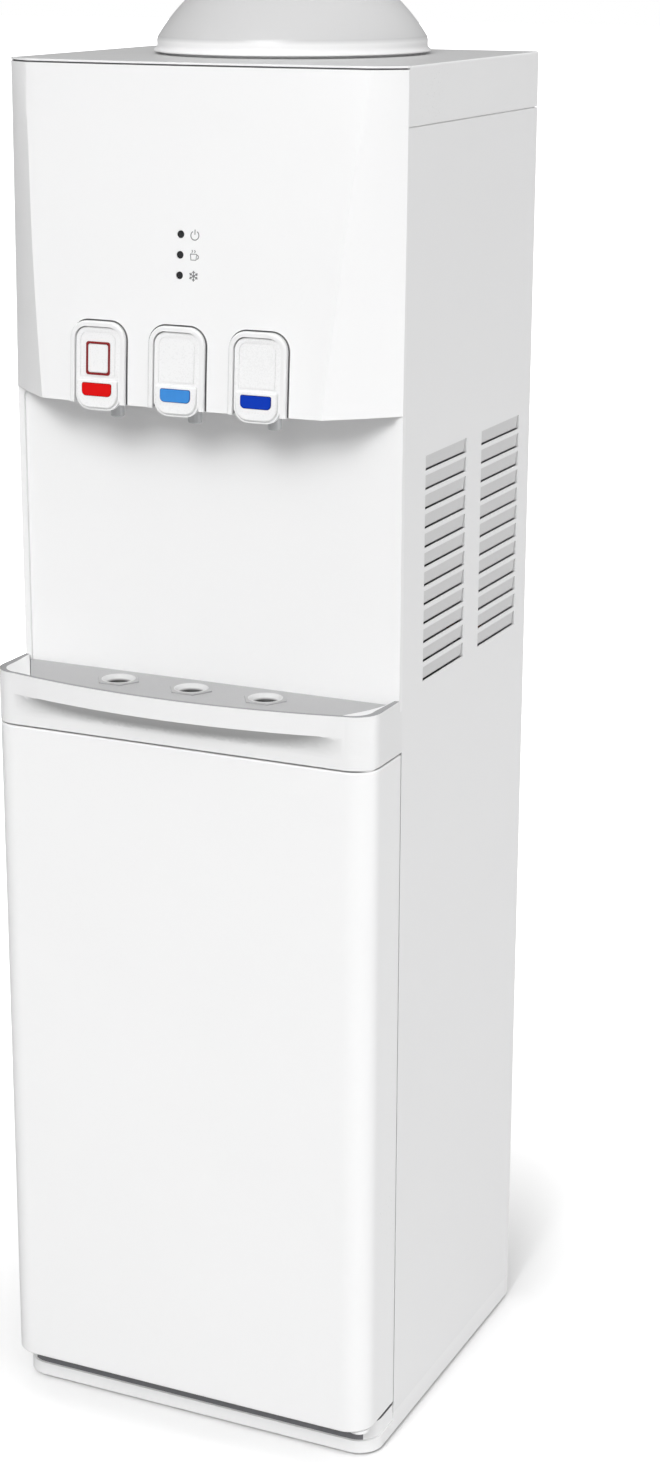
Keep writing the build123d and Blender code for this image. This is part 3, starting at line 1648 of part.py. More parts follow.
# Mains cord gland in the rear panel
gland_flange_radius = 13
gland_bore = 4
gland_flange = 3
gland_seat_y = rear_inner_y + steel
gland_inner_y = rear_inner_y - gland_flange
gland_outer_y = gland_seat_y + gland_flange
gland = rod(gland_radius, (gland_x, gland_inner_y, gland_z), (gland_x, gland_seat_y, gland_z))
gland += rod(
    gland_flange_radius, (gland_x, gland_seat_y, gland_z), (gland_x, gland_outer_y, gland_z)
)
gland -= rod(
    gland_bore,
    (gland_x, gland_inner_y - overrun, gland_z),
    (gland_x, gland_outer_y + overrun, gland_z),
)
parts["cord_gland"] = gland

# Hoses: silicone tubes between the tanks, the taps and the drain
hose_radius = 4
hose_bend = 12
hose_gap = 0.2
hose_start_y = nozzle_y + inlet_reach + hose_gap
port_margin = 1
ambient_port_inset = 22
cold_port_reach = 42
cold_run = 52.8
drain_port_reach = 32
hot_out_y = hot_y - hot_radius + 2 * hose_radius + port_margin
hot_hose = tube_along(
    [
        (tap_xs[0], hose_start_y, inlet_z),
        (tap_xs[0], hot_out_y, inlet_z),
        (tap_xs[0], hot_out_y, hot_top_z + hose_gap),
    ],
    hose_radius,
    hose_bend,
)
ambient_out_y = tank_y - tank_radius + ambient_port_inset
tank_port_z = tank_bottom_z - hose_gap
ambient_hose = tube_along(
    [
        (tap_xs[1], hose_start_y, inlet_z),
        (tap_xs[1], ambient_out_y, inlet_z),
        (tap_xs[1], ambient_out_y, tank_port_z),
    ],
    hose_radius,
    hose_bend,
)
cold_out_x = 25
cold_out_y = tank_y - cold_port_reach
cold_turn_y = hose_start_y + cold_run
cold_hose = tube_along(
    [
        (tap_xs[2], hose_start_y, inlet_z),
        (tap_xs[2], cold_turn_y, inlet_z),
        (cold_out_x, cold_out_y, inlet_z),
        (cold_out_x, cold_out_y, tank_port_z),
    ],
    hose_radius,
    hose_bend,
)
feed_x = hot_x + hot_radius / 2
feed_hose = rod(hose_radius, (feed_x, tank_y, hot_top_z + hose_gap), (feed_x, tank_y, tank_port_z))
drain_rise_y = hot_y + drain_port_reach
drain_hose = tube_along(
    [
        (drain_x, drain_start_y - hose_gap, drain_z),
        (drain_x, drain_rise_y, drain_z),
        (drain_x, drain_rise_y, hot_bottom_z - hose_gap),
    ],
    hose_radius,
    hose_bend,
)
parts["water_hoses"] = group([hot_hose, ambient_hose, cold_hose, feed_hose, drain_hose])

# Refrigerant pipes: discharge, liquid line with its drier, and suction
pipe_radius = 2.4
pipe_bend = 8
drier_radius = 8
drier_length = 60
drier_rise = 100
drier_z = deck_z + drier_rise
discharge_reach = 23
liquid_reach = 87
liquid_drop = 46
suction_reach = 78
suction_port_reach = 10
suction_rise = 24
coil_top_z = coil_bottom_z + coil_height
discharge_y = compressor_y + shell_radius + discharge_reach
discharge = tube_along(
    [
        (compressor_x, compressor_y + shell_radius, pipe_z),
        (compressor_x, discharge_y, pipe_z),
        (tail_x, discharge_y, pipe_z),
        (tail_x, pipe_start_y, pipe_z),
    ],
    pipe_radius,
    pipe_bend,
)
liquid_y = tank_y - liquid_reach
liquid_z = shelf_z - liquid_drop
liquid = tube_along(
    [
        (-tail_x, pipe_start_y, pipe_z),
        (-tail_x, liquid_y, pipe_z),
        (-tail_x, liquid_y, liquid_z),
        (coil_radius, liquid_y, liquid_z),
        (coil_radius, liquid_y, coil_bottom_z),
        (coil_radius, tank_y - hose_gap, coil_bottom_z),
    ],
    pipe_radius,
    pipe_bend,
)
liquid += post(drier_radius, -tail_x, liquid_y, drier_z, drier_z + drier_length)
suction_y = tank_y + suction_reach
suction_drop_y = compressor_y + suction_port_reach
suction_z = shell_top_z + suction_rise
suction = tube_along(
    [
        (coil_radius, tank_y + hose_gap, coil_top_z),
        (coil_radius, suction_y, coil_top_z),
        (coil_radius, suction_y, suction_z),
        (coil_radius, suction_drop_y, suction_z),
        (coil_radius, suction_drop_y, shell_top_z),
    ],
    pipe_radius,
    pipe_bend,
)
parts["refrigerant_pipes"] = group([discharge, liquid, suction])

# Holes where the hoses and pipes pass through the shelf, the foam, the jacket and the stand
hose_hole = hose_radius + fit
pipe_hole = pipe_radius + fit
tank_ports = [(tap_xs[1], ambient_out_y), (cold_out_x, cold_out_y), (feed_x, tank_y)]
shelf = parts["tank_shelf"]
for x, y in tank_ports:
    shelf -= post(hose_hole, x, y, shelf_z - overrun, shelf_z + overrun)
    foam -= post(hose_hole, x, y, foam_bottom_z - overrun, tank_bottom_z + overrun)
for y in (liquid_y, suction_y):
    shelf -= post(pipe_hole, coil_radius, y, shelf_z - overrun, shelf_z + overrun)
foam -= rod(pipe_hole, (coil_radius, tank_y, coil_bottom_z), (coil_radius, liquid_y, coil_bottom_z))
foam -= rod(pipe_hole, (coil_radius, tank_y, coil_top_z), (coil_radius, suction_y, coil_top_z))
for x, y in ((tap_xs[0], hot_out_y), (feed_x, tank_y)):
    jacket -= post(hose_hole, x, y, hot_top_z - overrun, jacket_high_z + overrun)
jacket -= post(hose_hole, drain_x, drain_rise_y, jacket_low_z - overrun, hot_bottom_z + overrun)
stand -= post(
    hose_hole, drain_x, drain_rise_y, jacket_low_z - ring_height - overrun, jacket_low_z + overrun
)
parts["tank_shelf"] = shelf
parts["hot_tank_stand"] = stand
parts["cold_tank"] = cold_tank
parts["tank_foam"] = foam
parts["hot_tank"] = hot_tank
parts["hot_tank_jacket"] = jacket

os.makedirs("parts", exist_ok=True)
for name, shape in parts.items():
    export_step(shape, "parts/" + name + ".step")
print(len(parts), "nodes")
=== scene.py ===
import json
import math

import bmesh
import bpy
from mathutils import Matrix, Vector

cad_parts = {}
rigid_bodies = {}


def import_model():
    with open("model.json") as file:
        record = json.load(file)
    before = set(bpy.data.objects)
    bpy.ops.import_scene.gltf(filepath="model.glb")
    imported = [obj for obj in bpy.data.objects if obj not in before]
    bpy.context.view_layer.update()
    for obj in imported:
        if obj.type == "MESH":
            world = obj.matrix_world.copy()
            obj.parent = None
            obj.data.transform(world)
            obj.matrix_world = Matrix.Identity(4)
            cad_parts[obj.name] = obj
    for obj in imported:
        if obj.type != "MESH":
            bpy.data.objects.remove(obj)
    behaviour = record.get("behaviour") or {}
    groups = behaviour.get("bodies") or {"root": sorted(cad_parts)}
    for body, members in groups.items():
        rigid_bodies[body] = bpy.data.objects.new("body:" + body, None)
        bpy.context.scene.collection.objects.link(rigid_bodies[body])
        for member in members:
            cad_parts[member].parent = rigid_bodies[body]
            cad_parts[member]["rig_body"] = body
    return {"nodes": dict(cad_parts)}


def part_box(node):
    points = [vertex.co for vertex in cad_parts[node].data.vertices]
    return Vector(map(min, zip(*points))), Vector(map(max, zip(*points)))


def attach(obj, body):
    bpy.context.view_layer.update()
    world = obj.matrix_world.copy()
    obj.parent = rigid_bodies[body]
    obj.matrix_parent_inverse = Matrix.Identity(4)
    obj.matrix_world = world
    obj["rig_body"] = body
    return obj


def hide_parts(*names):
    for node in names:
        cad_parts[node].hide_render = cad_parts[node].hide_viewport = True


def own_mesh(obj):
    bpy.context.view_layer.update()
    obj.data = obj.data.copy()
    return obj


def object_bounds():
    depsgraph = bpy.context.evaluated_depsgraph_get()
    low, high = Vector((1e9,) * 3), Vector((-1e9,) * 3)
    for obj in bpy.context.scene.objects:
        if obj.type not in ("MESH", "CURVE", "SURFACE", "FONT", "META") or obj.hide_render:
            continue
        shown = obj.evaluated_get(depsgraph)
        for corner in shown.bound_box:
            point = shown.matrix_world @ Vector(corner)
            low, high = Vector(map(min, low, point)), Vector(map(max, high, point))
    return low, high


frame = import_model()
cad_box = [list(corner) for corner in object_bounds()]
mm = 0.001


# Camera: it stands at the right of the dispenser's front, a little above its top edge,
# and looks down at it. The view is taken from the photograph's own edges and corners.
camera_place = (0.874, -1.803, 1.128)
camera_turn = math.radians(25.39)
camera_dip = math.radians(16.8)
view_height = 1470
focal_height = 2671.3
view_middle_x = 330
view_axis_x = 293.4

bpy.ops.object.select_all(action="DESELECT")
bpy.ops.object.camera_add(
    location=camera_place, rotation=(math.pi / 2 - camera_dip, 0, camera_turn)
)
camera = bpy.context.object
camera.data.sensor_fit = "VERTICAL"
camera.data.sensor_height = 24
camera.data.lens = camera.data.sensor_height * focal_height / view_height
camera.data.shift_x = (view_middle_x - view_axis_x) / view_height
bpy.context.scene.camera = camera
bpy.context.scene.view_settings.view_transform = "Standard"


# Studio: a pale floor that fades into a white surround, one large soft lamp high at the
# front, a narrow one for the door, a low one at the right, and a sky dim at the left.
class Value:
    """A shader socket that can stand in a sum."""

    def __init__(self, shading, socket):
        self.shading = shading
        self.socket = socket

    def sum(self, operation, first, second):
        return self.shading.node("Math", {"operation": operation}, {0: first, 1: second})

    def __add__(self, other):
        return self.sum("ADD", self, other)

    def __radd__(self, other):
        return self.sum("ADD", other, self)

    def __sub__(self, other):
        return self.sum("SUBTRACT", self, other)

    def __rsub__(self, other):
        return self.sum("SUBTRACT", other, self)

    def __mul__(self, other):
        return self.sum("MULTIPLY", self, other)

    def __rmul__(self, other):
        return self.sum("MULTIPLY", other, self)

    def __gt__(self, other):
        return self.sum("GREATER_THAN", self, other)

    def __lt__(self, other):
        return self.sum("LESS_THAN", self, other)


class Shading:
    """The nodes of a material or of the sky, and the shader that they feed."""

    def __init__(self, owner, shader, **fixed):
        owner.use_nodes = True
        self.tree = owner.node_tree
        self.shader = self.tree.nodes[shader]
        for socket, value in fixed.items():
            self.shader.inputs[socket.replace("_", " ")].default_value = value

    def node(self, kind, settings, sockets, output=0):
        """Any node: its settings are set first, then its sockets, and one output is given."""
        made = self.tree.nodes.new("ShaderNode" + kind)
        for name, value in settings.items():
            setattr(made, name, value)
        for name, value in sockets.items():
            if isinstance(value, Value):
                self.tree.links.new(value.socket, made.inputs[name])
            else:
                made.inputs[name].default_value = value
        return Value(self, made.outputs[output])

    def feed(self, **links):
        for socket, value in links.items():
            self.tree.links.new(value.socket, self.shader.inputs[socket.replace("_", " ")])

    def axis(self, vector, which):
        """One part of a vector: 0, 1 or 2 for X, Y or Z."""
        return self.node("SeparateXYZ", {}, {0: vector}, which)

    def ramp(self, value, low, high, start=0, end=1):
        """Goes from start to end as the value goes from low to high, and stops there."""
        limits = {"From Min": low, "From Max": high, "To Min": start, "To Max": end}
        return self.node("MapRange", {}, {"Value": value, **limits})


class Finish(Shading):
    """One surface finish, with patterns that stay in place on the piece."""

    def __init__(self, name, **fixed):
        self.material = bpy.data.materials.new(name)
        super().__init__(self.material, "Principled BSDF", **fixed)

    def place(self, scale=(1, 1, 1)):
        """The point on the piece, stretched so that a pattern can run along one way."""
        point = self.node("TexCoord", {}, {}, "Object")
        return self.node("Mapping", {}, {"Vector": point, "Scale": scale})

    def noise(self, scale, detail=2.0, stretch=(1, 1, 1)):
        """A soft random pattern, from 0 to 1, with this many spots in a metre."""
        sockets = {"Vector": self.place(stretch), "Scale": scale, "Detail": detail}
        return self.node("TexNoise", {}, sockets)

    def blend(self, mask, first, second):
        """A colour that goes from the first to the second as the mask goes from 0 to 1."""
        sockets = {0: mask, 6: first, 7: second}
        return self.node("Mix", {"data_type": "RGBA", "clamp_factor": True}, sockets, 2)

    def bump(self, height, distance):
        return self.node("Bump", {}, {"Height": height, "Distance": distance})


def tone(colour, share):
    """The same colour, lighter or darker by a share."""
    return tuple(min(1, part * share) for part in colour[:3]) + (1,)


def grey(level):
    return (level, level, level, 1)


floor_reach = 30
floor_seen = 0.97
floor_bounce = 0.45
floor_mottle = 0.985
fade_start = 0.2
fade_end = 0.75
bpy.ops.mesh.primitive_plane_add(size=2 * floor_reach, location=(0, 0, cad_box[0][2]))
floor = bpy.context.object
floor.name = "studio_floor"
studio = Finish("studio_floor", Roughness=0.9, Specular_IOR_Level=0.0, Emission_Strength=1.0)
studio_cloud = studio.noise(2)
studio_seen = studio.blend(studio_cloud, grey(floor_seen), grey(floor_mottle * floor_seen))
studio_lit = studio.blend(studio_cloud, grey(floor_bounce), grey(floor_mottle * floor_bounce))
straight = studio.node("LightPath", {}, {}, "Is Camera Ray")
away = studio.node("VectorMath", {"operation": "LENGTH"}, {0: studio.place()}, "Value")
fade = studio.ramp(away, fade_start, fade_end)
studio.feed(
    Base_Color=studio.blend(straight, studio_lit, studio_seen),
    Emission_Color=studio.blend(straight * fade, grey(0), grey(1)),
)
floor.data.materials.append(studio.material)

sky_left = 0.12
sky_high = 0.80
sky_lean = 0.6
sky_seen = 1.0
world = bpy.context.scene.world or bpy.data.worlds.new("studio")
bpy.context.scene.world = world
sky = Shading(world, "Background", Color=grey(1))
way = sky.node("TexCoord", {}, {}, "Generated")
lean = sky.axis(way, 0) * sky_lean + sky.axis(way, 2)
sky_light = sky.ramp(lean, -sky_lean, 1, sky_left, sky_high)
seen_straight = sky.node("LightPath", {}, {}, "Is Camera Ray")
seen_through = sky.node("LightPath", {}, {}, "Is Transmission Ray")
seen = sky.node("Math", {"operation": "MAXIMUM"}, {0: seen_straight, 1: seen_through})
sky.feed(Strength=sky.node("Mix", {}, {"Factor": seen, "A": sky_light, "B": sky_seen}))


def soft_lamp(name, place, aim, size, power, spread=180):
    """A square soft box, turned towards a point on the dispenser."""
    bpy.ops.object.select_all(action="DESELECT")
    turn = (Vector(aim) - Vector(place)).to_track_quat("-Z", "Y").to_euler()
    bpy.ops.object.light_add(type="AREA", location=place, rotation=turn)
    lamp = bpy.context.object
    lamp.name = name
    lamp.data.size = size
    lamp.data.energy = power
    lamp.data.spread = math.radians(spread)


soft_lamp("key_lamp", (0.1, -5.2, 4.6), aim=(0, 0, 0.5), size=3.0, power=195)
soft_lamp("door_lamp", (0.1, -2.9, 2.4), aim=(0, 0, -0.35), size=1.0, power=3, spread=50)
soft_lamp("side_lamp", (2.6, 0.3, 0.3), aim=(0, 0, -0.4), size=1.2, power=25)


# Plinth: a shallow white moulded tray that carries both side sheets. Four rubber feet
# are pressed into its underside, and a grey strip closes it under the door.
def bare():
    """Nothing is selected and nothing is in edit mode."""
    if bpy.context.object and bpy.context.object.mode != "OBJECT":
        bpy.ops.object.mode_set(mode="OBJECT")
    bpy.ops.object.select_all(action="DESELECT")


weld_reach = 0.5e-6
flat_turn = math.radians(0.3)
sharp_turn = math.radians(32)


def welded(node, name):
    """A copy of a CAD node with its loose triangles joined and its flat faces whole."""
    bare()
    piece = bpy.data.objects.new(name, frame["nodes"][node].data.copy())
    bpy.context.collection.objects.link(piece)
    bpy.context.view_layer.objects.active = piece
    piece.select_set(True)
    bpy.ops.object.mode_set(mode="EDIT")
    bpy.ops.mesh.select_all(action="SELECT")
    bpy.ops.mesh.remove_doubles(threshold=weld_reach)
    bpy.ops.mesh.dissolve_limited(angle_limit=flat_turn)
    bpy.ops.object.mode_set(mode="OBJECT")
    return piece


def softened(piece, edge):
    """Sharp edges get a small round, and the rest of the surface shades smoothly."""
    if edge:
        bevel = piece.modifiers.new("soft_edge", "BEVEL")
        bevel.width = edge
        bevel.segments = 2
        bevel.limit_method = "ANGLE"
        bevel.angle_limit = sharp_turn
        bpy.ops.object.modifier_apply(modifier=bevel.name)
    bpy.ops.object.shade_smooth_by_angle(angle=sharp_turn)
    flat = piece.modifiers.new("flat_faces", "WEIGHTED_NORMAL")
    flat.keep_sharp = True
    bpy.ops.object.modifier_apply(modifier=flat.name)
    return piece


def coated(piece, finish):
    """One finish all over, in place of what the CAD node had."""
    piece.data.materials.clear()
    piece.data.materials.append(finish.material)


def lined(piece, finish, wanted):
    """A second finish on the faces that the test picks by their corners and direction."""
    piece.data.materials.append(finish.material)
    corners = [vertex.co for vertex in piece.data.vertices]
    for face in piece.data.polygons:
        if wanted([corners[corner] for corner in face.vertices], face.normal):
            face.material_index = 1


def dressed(node, finish, edge=0.0):
    """A finished copy of a CAD node that stands for it, in the node's own material slot."""
    piece = softened(welded(node, node + "_finished"), edge)
    coated(piece, finish)
    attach(piece, frame["nodes"][node]["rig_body"])
    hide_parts(node)
    return piece


def upward(finish):
    """How far the surface looks up, from -1 to 1."""
    return finish.axis(finish.node("NewGeometry", {}, {}, "Normal"), 2)


def moulded(name, colour, roughness, grain=0.02 * mm, dust_and_shade_tone=0.93):
    """Moulded plastic: faint flow clouds, a fine skin, and a darker dull film on faces that
    look up, which is settled dust and, where the tone is set low, painted shade.
    """
    finish = Finish(name, Specular_IOR_Level=0.5)
    clouds = finish.noise(7, 3)
    specks = finish.noise(900, 2)
    peel = finish.noise(260, 3)
    # Faces that look up go darker: settled dust, and painted shade on top faces where the tone
    # is set low.
    dust_and_shade = (upward(finish) > 0.8) * (0.9 + finish.noise(60, 4) * 0.2)
    body = finish.blend(clouds, tone(colour, 0.985), tone(colour, 1.008))
    finish.feed(
        Base_Color=finish.blend(dust_and_shade, body, tone(colour, dust_and_shade_tone)),
        Roughness=roughness + (specks - 0.5) * 0.08 + (clouds - 0.5) * 0.06 + dust_and_shade * 0.1,
        Normal=finish.bump(peel + specks * 0.4, grain),
    )
    return finish


plain_white = (0.87, 0.87, 0.872)
white_roughness = 0.3
coarse_grain = 0.04 * mm
white_abs = moulded("white_abs", plain_white, white_roughness)
strip_grey = moulded("strip_grey", (0.17, 0.17, 0.18), 0.5, coarse_grain)

foot_rubber = Finish("foot_rubber", Specular_IOR_Level=0.3)
rubber_grain = foot_rubber.noise(700, 4)
rubber_dark, rubber_dusty = (0.012, 0.012, 0.013, 1), (0.035, 0.034, 0.033, 1)
foot_rubber.feed(
    Base_Color=foot_rubber.blend(rubber_grain, rubber_dark, rubber_dusty),
    Roughness=0.75 + rubber_grain * 0.2,
    Normal=foot_rubber.bump(rubber_grain, 0.15 * mm),
)

wide_edge = 0.5 * mm
small_edge = 0.3 * mm
dressed("base_plinth", white_abs, wide_edge)
dressed("rubber_feet", foot_rubber, wide_edge)
strip = dressed("kick_strip", strip_grey, small_edge)
lined(strip, white_abs, lambda corners, normal: abs(normal.x) > 0.5)


# Cabinet sides and back: thin steel sheets, folded at front and rear and painted white.
# The sides have two banks of pressed louvres, the back has slots and screws all round.
recess_shade_share = 0.8
sunk_full = 1.3 * mm
sunk_start = 0.15 * mm
nib_rarity = 0.78


def painted(name, colour, roughness, face_x):
    """Sprayed paint on sheet steel: a fine orange peel, a few nibs, and painted shade that
    darkens the sunk louvre faces.
    """
    finish = Finish(name, Specular_IOR_Level=0.5)
    aside = finish.node("Math", {"operation": "ABSOLUTE"}, {0: finish.axis(finish.place(), 0)})
    # Painted shade: faces sunk behind the sheet's outer face get a darker tone, as the shade in
    # the louvres.
    outer = finish.ramp(aside, face_x - sunk_full, face_x - sunk_start)
    peel = finish.noise(420, 3)
    waves = finish.noise(5, 2)
    nibs = finish.noise(1500, 1) > nib_rarity
    finish.feed(
        Base_Color=finish.blend(
            outer * (0.9 + waves * 0.1), tone(colour, recess_shade_share), tone(colour, 1.005)
        ),
        Roughness=roughness + (peel - 0.5) * 0.12,
        Normal=finish.bump(peel + nibs * 0.15, 0.03 * mm),
    )
    return finish


side_face_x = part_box("side_panel_right")[1].x
white_paint = painted("white_paint", (0.84, 0.84, 0.843), 0.42, side_face_x)
rear_paint = painted("rear_paint", (0.74, 0.74, 0.745), 0.5, 0)
dressed("side_panel_right", white_paint)
dressed("side_panel_left", white_paint)
dressed("rear_panel", rear_paint)

zinc = Finish("zinc", Metallic=1.0)
spangle = zinc.node("TexVoronoi", {}, {"Vector": zinc.place(), "Scale": 120}, "Color")
flake = zinc.node("RGBToBW", {}, {0: spangle})
zinc.feed(
    Base_Color=zinc.blend(flake, (0.50, 0.51, 0.53, 1), (0.68, 0.69, 0.71, 1)),
    Roughness=0.32 + flake * 0.22,
    Normal=zinc.bump(zinc.noise(900, 3), 0.03 * mm),
)


def finished_part(piece, name, finish, body):
    """A piece of its own, in place in its mesh, that rides on a body."""
    bare()
    piece.select_set(True)
    bpy.context.view_layer.objects.active = piece
    bpy.ops.object.transform_apply(location=True, rotation=True, scale=True)
    piece.name = name
    coated(piece, finish)
    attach(piece, body)
    return piece


screw_radius = 3.6 * mm
screw_height = 1.9 * mm
screw_round = 0.45 * screw_height
screw_crease = math.radians(35)
cross_reach = 2.0 * mm
cross_width = 0.9 * mm


def pan_screw():
    """A domed screw head with a cross recess, lying flat with its head up."""
    bare()
    bpy.ops.mesh.primitive_cylinder_add(
        vertices=24, radius=screw_radius, depth=screw_height, location=(0, 0, screw_height / 2)
    )
    head = bpy.context.object
    bpy.ops.object.mode_set(mode="EDIT")
    bpy.ops.mesh.select_all(action="DESELECT")
    mesh = bmesh.from_edit_mesh(head.data)
    for face in mesh.faces:
        face.select = face.normal.z > 0.9
    bmesh.update_edit_mesh(head.data)
    bpy.ops.mesh.bevel(offset=screw_round, segments=3, affect="EDGES")
    bpy.ops.object.mode_set(mode="OBJECT")
    for turn in (0, math.pi / 2):
        bpy.ops.object.select_all(action="DESELECT")
        bpy.ops.mesh.primitive_cube_add(
            size=1, location=(0, 0, screw_height), rotation=(0, 0, turn)
        )
        cutter = bpy.context.object
        cutter.scale = (2 * cross_reach, cross_width, screw_height)
        cut = head.modifiers.new("cross", "BOOLEAN")
        cut.operation = "DIFFERENCE"
        cut.object = cutter
        bpy.ops.object.select_all(action="DESELECT")
        bpy.context.view_layer.objects.active = head
        bpy.ops.object.modifier_apply(modifier=cut.name)
        bpy.data.objects.remove(cutter)
    head.select_set(True)
    bpy.ops.object.shade_smooth_by_angle(angle=screw_crease)
    return head


rear_low, rear_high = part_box("rear_panel")
flange_back_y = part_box("side_panel_right")[1].y
screw_inset_x = 8 * mm
screw_inset_z = 22 * mm
screw_rows = 6
screw_step = (rear_high.z - rear_low.z - 2 * screw_inset_z) / (screw_rows - 1)
screw_places = [
    (x, rear_low.z + screw_inset_z + screw_step * row)
    for x in (rear_low.x + screw_inset_x, rear_high.x - screw_inset_x)
    for row in range(screw_rows)
]
head_backwards = Matrix.Rotation(-math.pi / 2, 4, "X")
first_screw = pan_screw()
for count, (x, z) in enumerate(screw_places):
    bare()
    screw = first_screw.copy()
    screw.data = first_screw.data.copy()
    bpy.context.collection.objects.link(screw)
    screw.matrix_world = Matrix.Translation((x, flange_back_y, z)) @ head_backwards
    finished_part(screw, f"rear_screw_{count + 1}", zinc, "cabinet")
bpy.data.objects.remove(first_screw)


# Cupboard: a pale moulded box behind the door, with a magnetic catch on its left edge.
# Steel shelves above it, screwed between the sides, carry the cooling parts and the tanks.
inner_abs = moulded("inner_abs", (0.78, 0.78, 0.785), 0.5, coarse_grain)
black_abs = moulded("black_abs", (0.02, 0.02, 0.022), 0.45, coarse_grain)
dressed("storage_liner", inner_abs)
catch_edge = 0.4 * mm
dressed("door_catch", black_abs, catch_edge)
dressed("compressor_deck", zinc)
dressed("tank_shelf", zinc)


# Compressor: a black enamelled steel shell on a foot plate, held by four bolts that pass
# through rubber grommets. Copper pipes lead from it to the cooling coil and the condenser.
enamel = Finish("black_enamel", Specular_IOR_Level=0.5)
enamel_dust = enamel.noise(45, 5)
enamel.feed(
    Base_Color=enamel.blend(enamel_dust, (0.012, 0.012, 0.013, 1), (0.028, 0.027, 0.026, 1)),
    Roughness=0.3 + enamel_dust * 0.25,
    Normal=enamel.bump(enamel.noise(300, 3), 0.06 * mm),
)
copper = Finish("copper", Metallic=1.0)
patina = copper.noise(80, 5)
copper.feed(
    Base_Color=copper.blend(patina, (0.72, 0.34, 0.20, 1), (0.45, 0.22, 0.14, 1)),
    Roughness=0.28 + patina * 0.25,
    Normal=copper.bump(copper.noise(500, 2), 0.03 * mm),
)
dressed("compressor", enamel)
dressed("compressor_grommets", foot_rubber)
dressed("compressor_bolts", zinc)
dressed("refrigerant_pipes", copper)
dressed("evaporator_coil", copper)


# Condenser: a bent steel tube with wires welded across both of its faces, all sprayed
# black, clipped to the back by four plastic brackets.
dressed("condenser_tube", enamel)
dressed("condenser_wires", enamel)
dressed("condenser_brackets", black_abs, small_edge)


# Tanks: a stainless cold tank in a foam shell under the bottle, and a small hot tank in
# its own jacket on three legs, joined to the taps by pale silicone hoses.
steel = Finish("brushed_stainless", Metallic=1.0)
brush = steel.noise(300, 4, stretch=(1, 1, 0.02))
steel.feed(
    Base_Color=steel.blend(brush, (0.60, 0.60, 0.61, 1), (0.72, 0.72, 0.73, 1)),
    Roughness=0.22 + brush * 0.2,
    Normal=steel.bump(brush, 0.03 * mm),
)
foam = Finish("foam", Specular_IOR_Level=0.2)
cells = foam.node("TexVoronoi", {}, {"Vector": foam.place(), "Scale": 260})
foam.feed(
    Base_Color=foam.blend(cells, (0.80, 0.76, 0.66, 1), (0.66, 0.62, 0.52, 1)),
    Roughness=0.8 + cells * 0.15,
    Normal=foam.bump(cells, 0.6 * mm),
)
silicone = Finish("silicone", Specular_IOR_Level=0.5)
milk = silicone.noise(120, 3)
silicone.feed(
    Base_Color=silicone.blend(milk, (0.74, 0.76, 0.78, 1), (0.82, 0.84, 0.85, 1)),
    Roughness=0.25 + milk * 0.2,
    Normal=silicone.bump(milk, 0.05 * mm),
)
dressed("cold_tank", steel)
dressed("tank_foam", foam)
dressed("tank_lid", foam)
dressed("hot_tank", steel)
dressed("hot_tank_jacket", foam)
dressed("hot_tank_heater", steel)
dressed("hot_tank_stand", zinc)
dressed("water_hoses", silicone)


# Niche: the smooth white back of the cup space, with a raised strip at each side. It
# stands on the tray housing and runs up behind the head.
niche_abs = moulded("niche_abs", (0.88, 0.88, 0.882), 0.38)
niche_edge = 0.6 * mm
dressed("niche_panel", niche_abs, niche_edge)


# Tray: a white trough with a bowed lip, a loose grey basin in it and a grey plate on top.
# The plate has three funnelled holes, each with a pale lining and a faint raised border.
plate_grey = Finish("plate_grey", Specular_IOR_Level=0.45)
plate_skin = plate_grey.noise(1300, 3)
plate_cloud = plate_grey.noise(12, 3)
plate_grey.feed(
    Base_Color=plate_grey.blend(plate_cloud, (0.40, 0.40, 0.405, 1), (0.44, 0.44, 0.445, 1)),
    Roughness=0.42 + (plate_skin - 0.5) * 0.2,
    Normal=plate_grey.bump(plate_skin, 0.06 * mm),
)
# Painted shade: faces of the tray housing that look down are painted darker, down to 0.42 grey,
# as the shade under the lip.
chin_shaded_abs = moulded("chin_shaded_abs", plain_white, white_roughness)
chin_cloud = chin_shaded_abs.noise(30, 3)
chin_painted_light = chin_shaded_abs.ramp(upward(chin_shaded_abs), -0.6, 0) * (0.97 + chin_cloud * 0.03)
chin_shaded_abs.feed(Base_Color=chin_shaded_abs.blend(chin_painted_light, grey(0.42), (0.82, 0.82, 0.822, 1)))
# Painted shade: a dark grey for small faces where a shadow line falls.
edge_shade_grey = moulded("edge_shade_grey", (0.34, 0.34, 0.345), 0.5, coarse_grain)

housing = dressed("tray_housing", chin_shaded_abs, wide_edge)
lip_foot_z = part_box("tray_housing")[1].z - 0.1 * mm


def on_lip(corners, normal):
    """On the flat top of the tray's lip."""
    return normal.z > 0.9 and all(c.z > lip_foot_z for c in corners)


# The flat top of the lip is painted dark grey, as the shadow line where the lip meets the
# plate.
lined(housing, edge_shade_grey, on_lip)
dressed("drip_tray", plate_grey, small_edge)
plate = dressed("drip_grille", plate_grey, small_edge)
plate_top_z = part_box("drip_grille")[1].z
border_foot_z = plate_top_z - 1.05 * mm


def on_border(corners, normal):
    """On the edges of the raised border round a hole."""
    return normal.z < 0.8 and all(c.z > border_foot_z for c in corners)


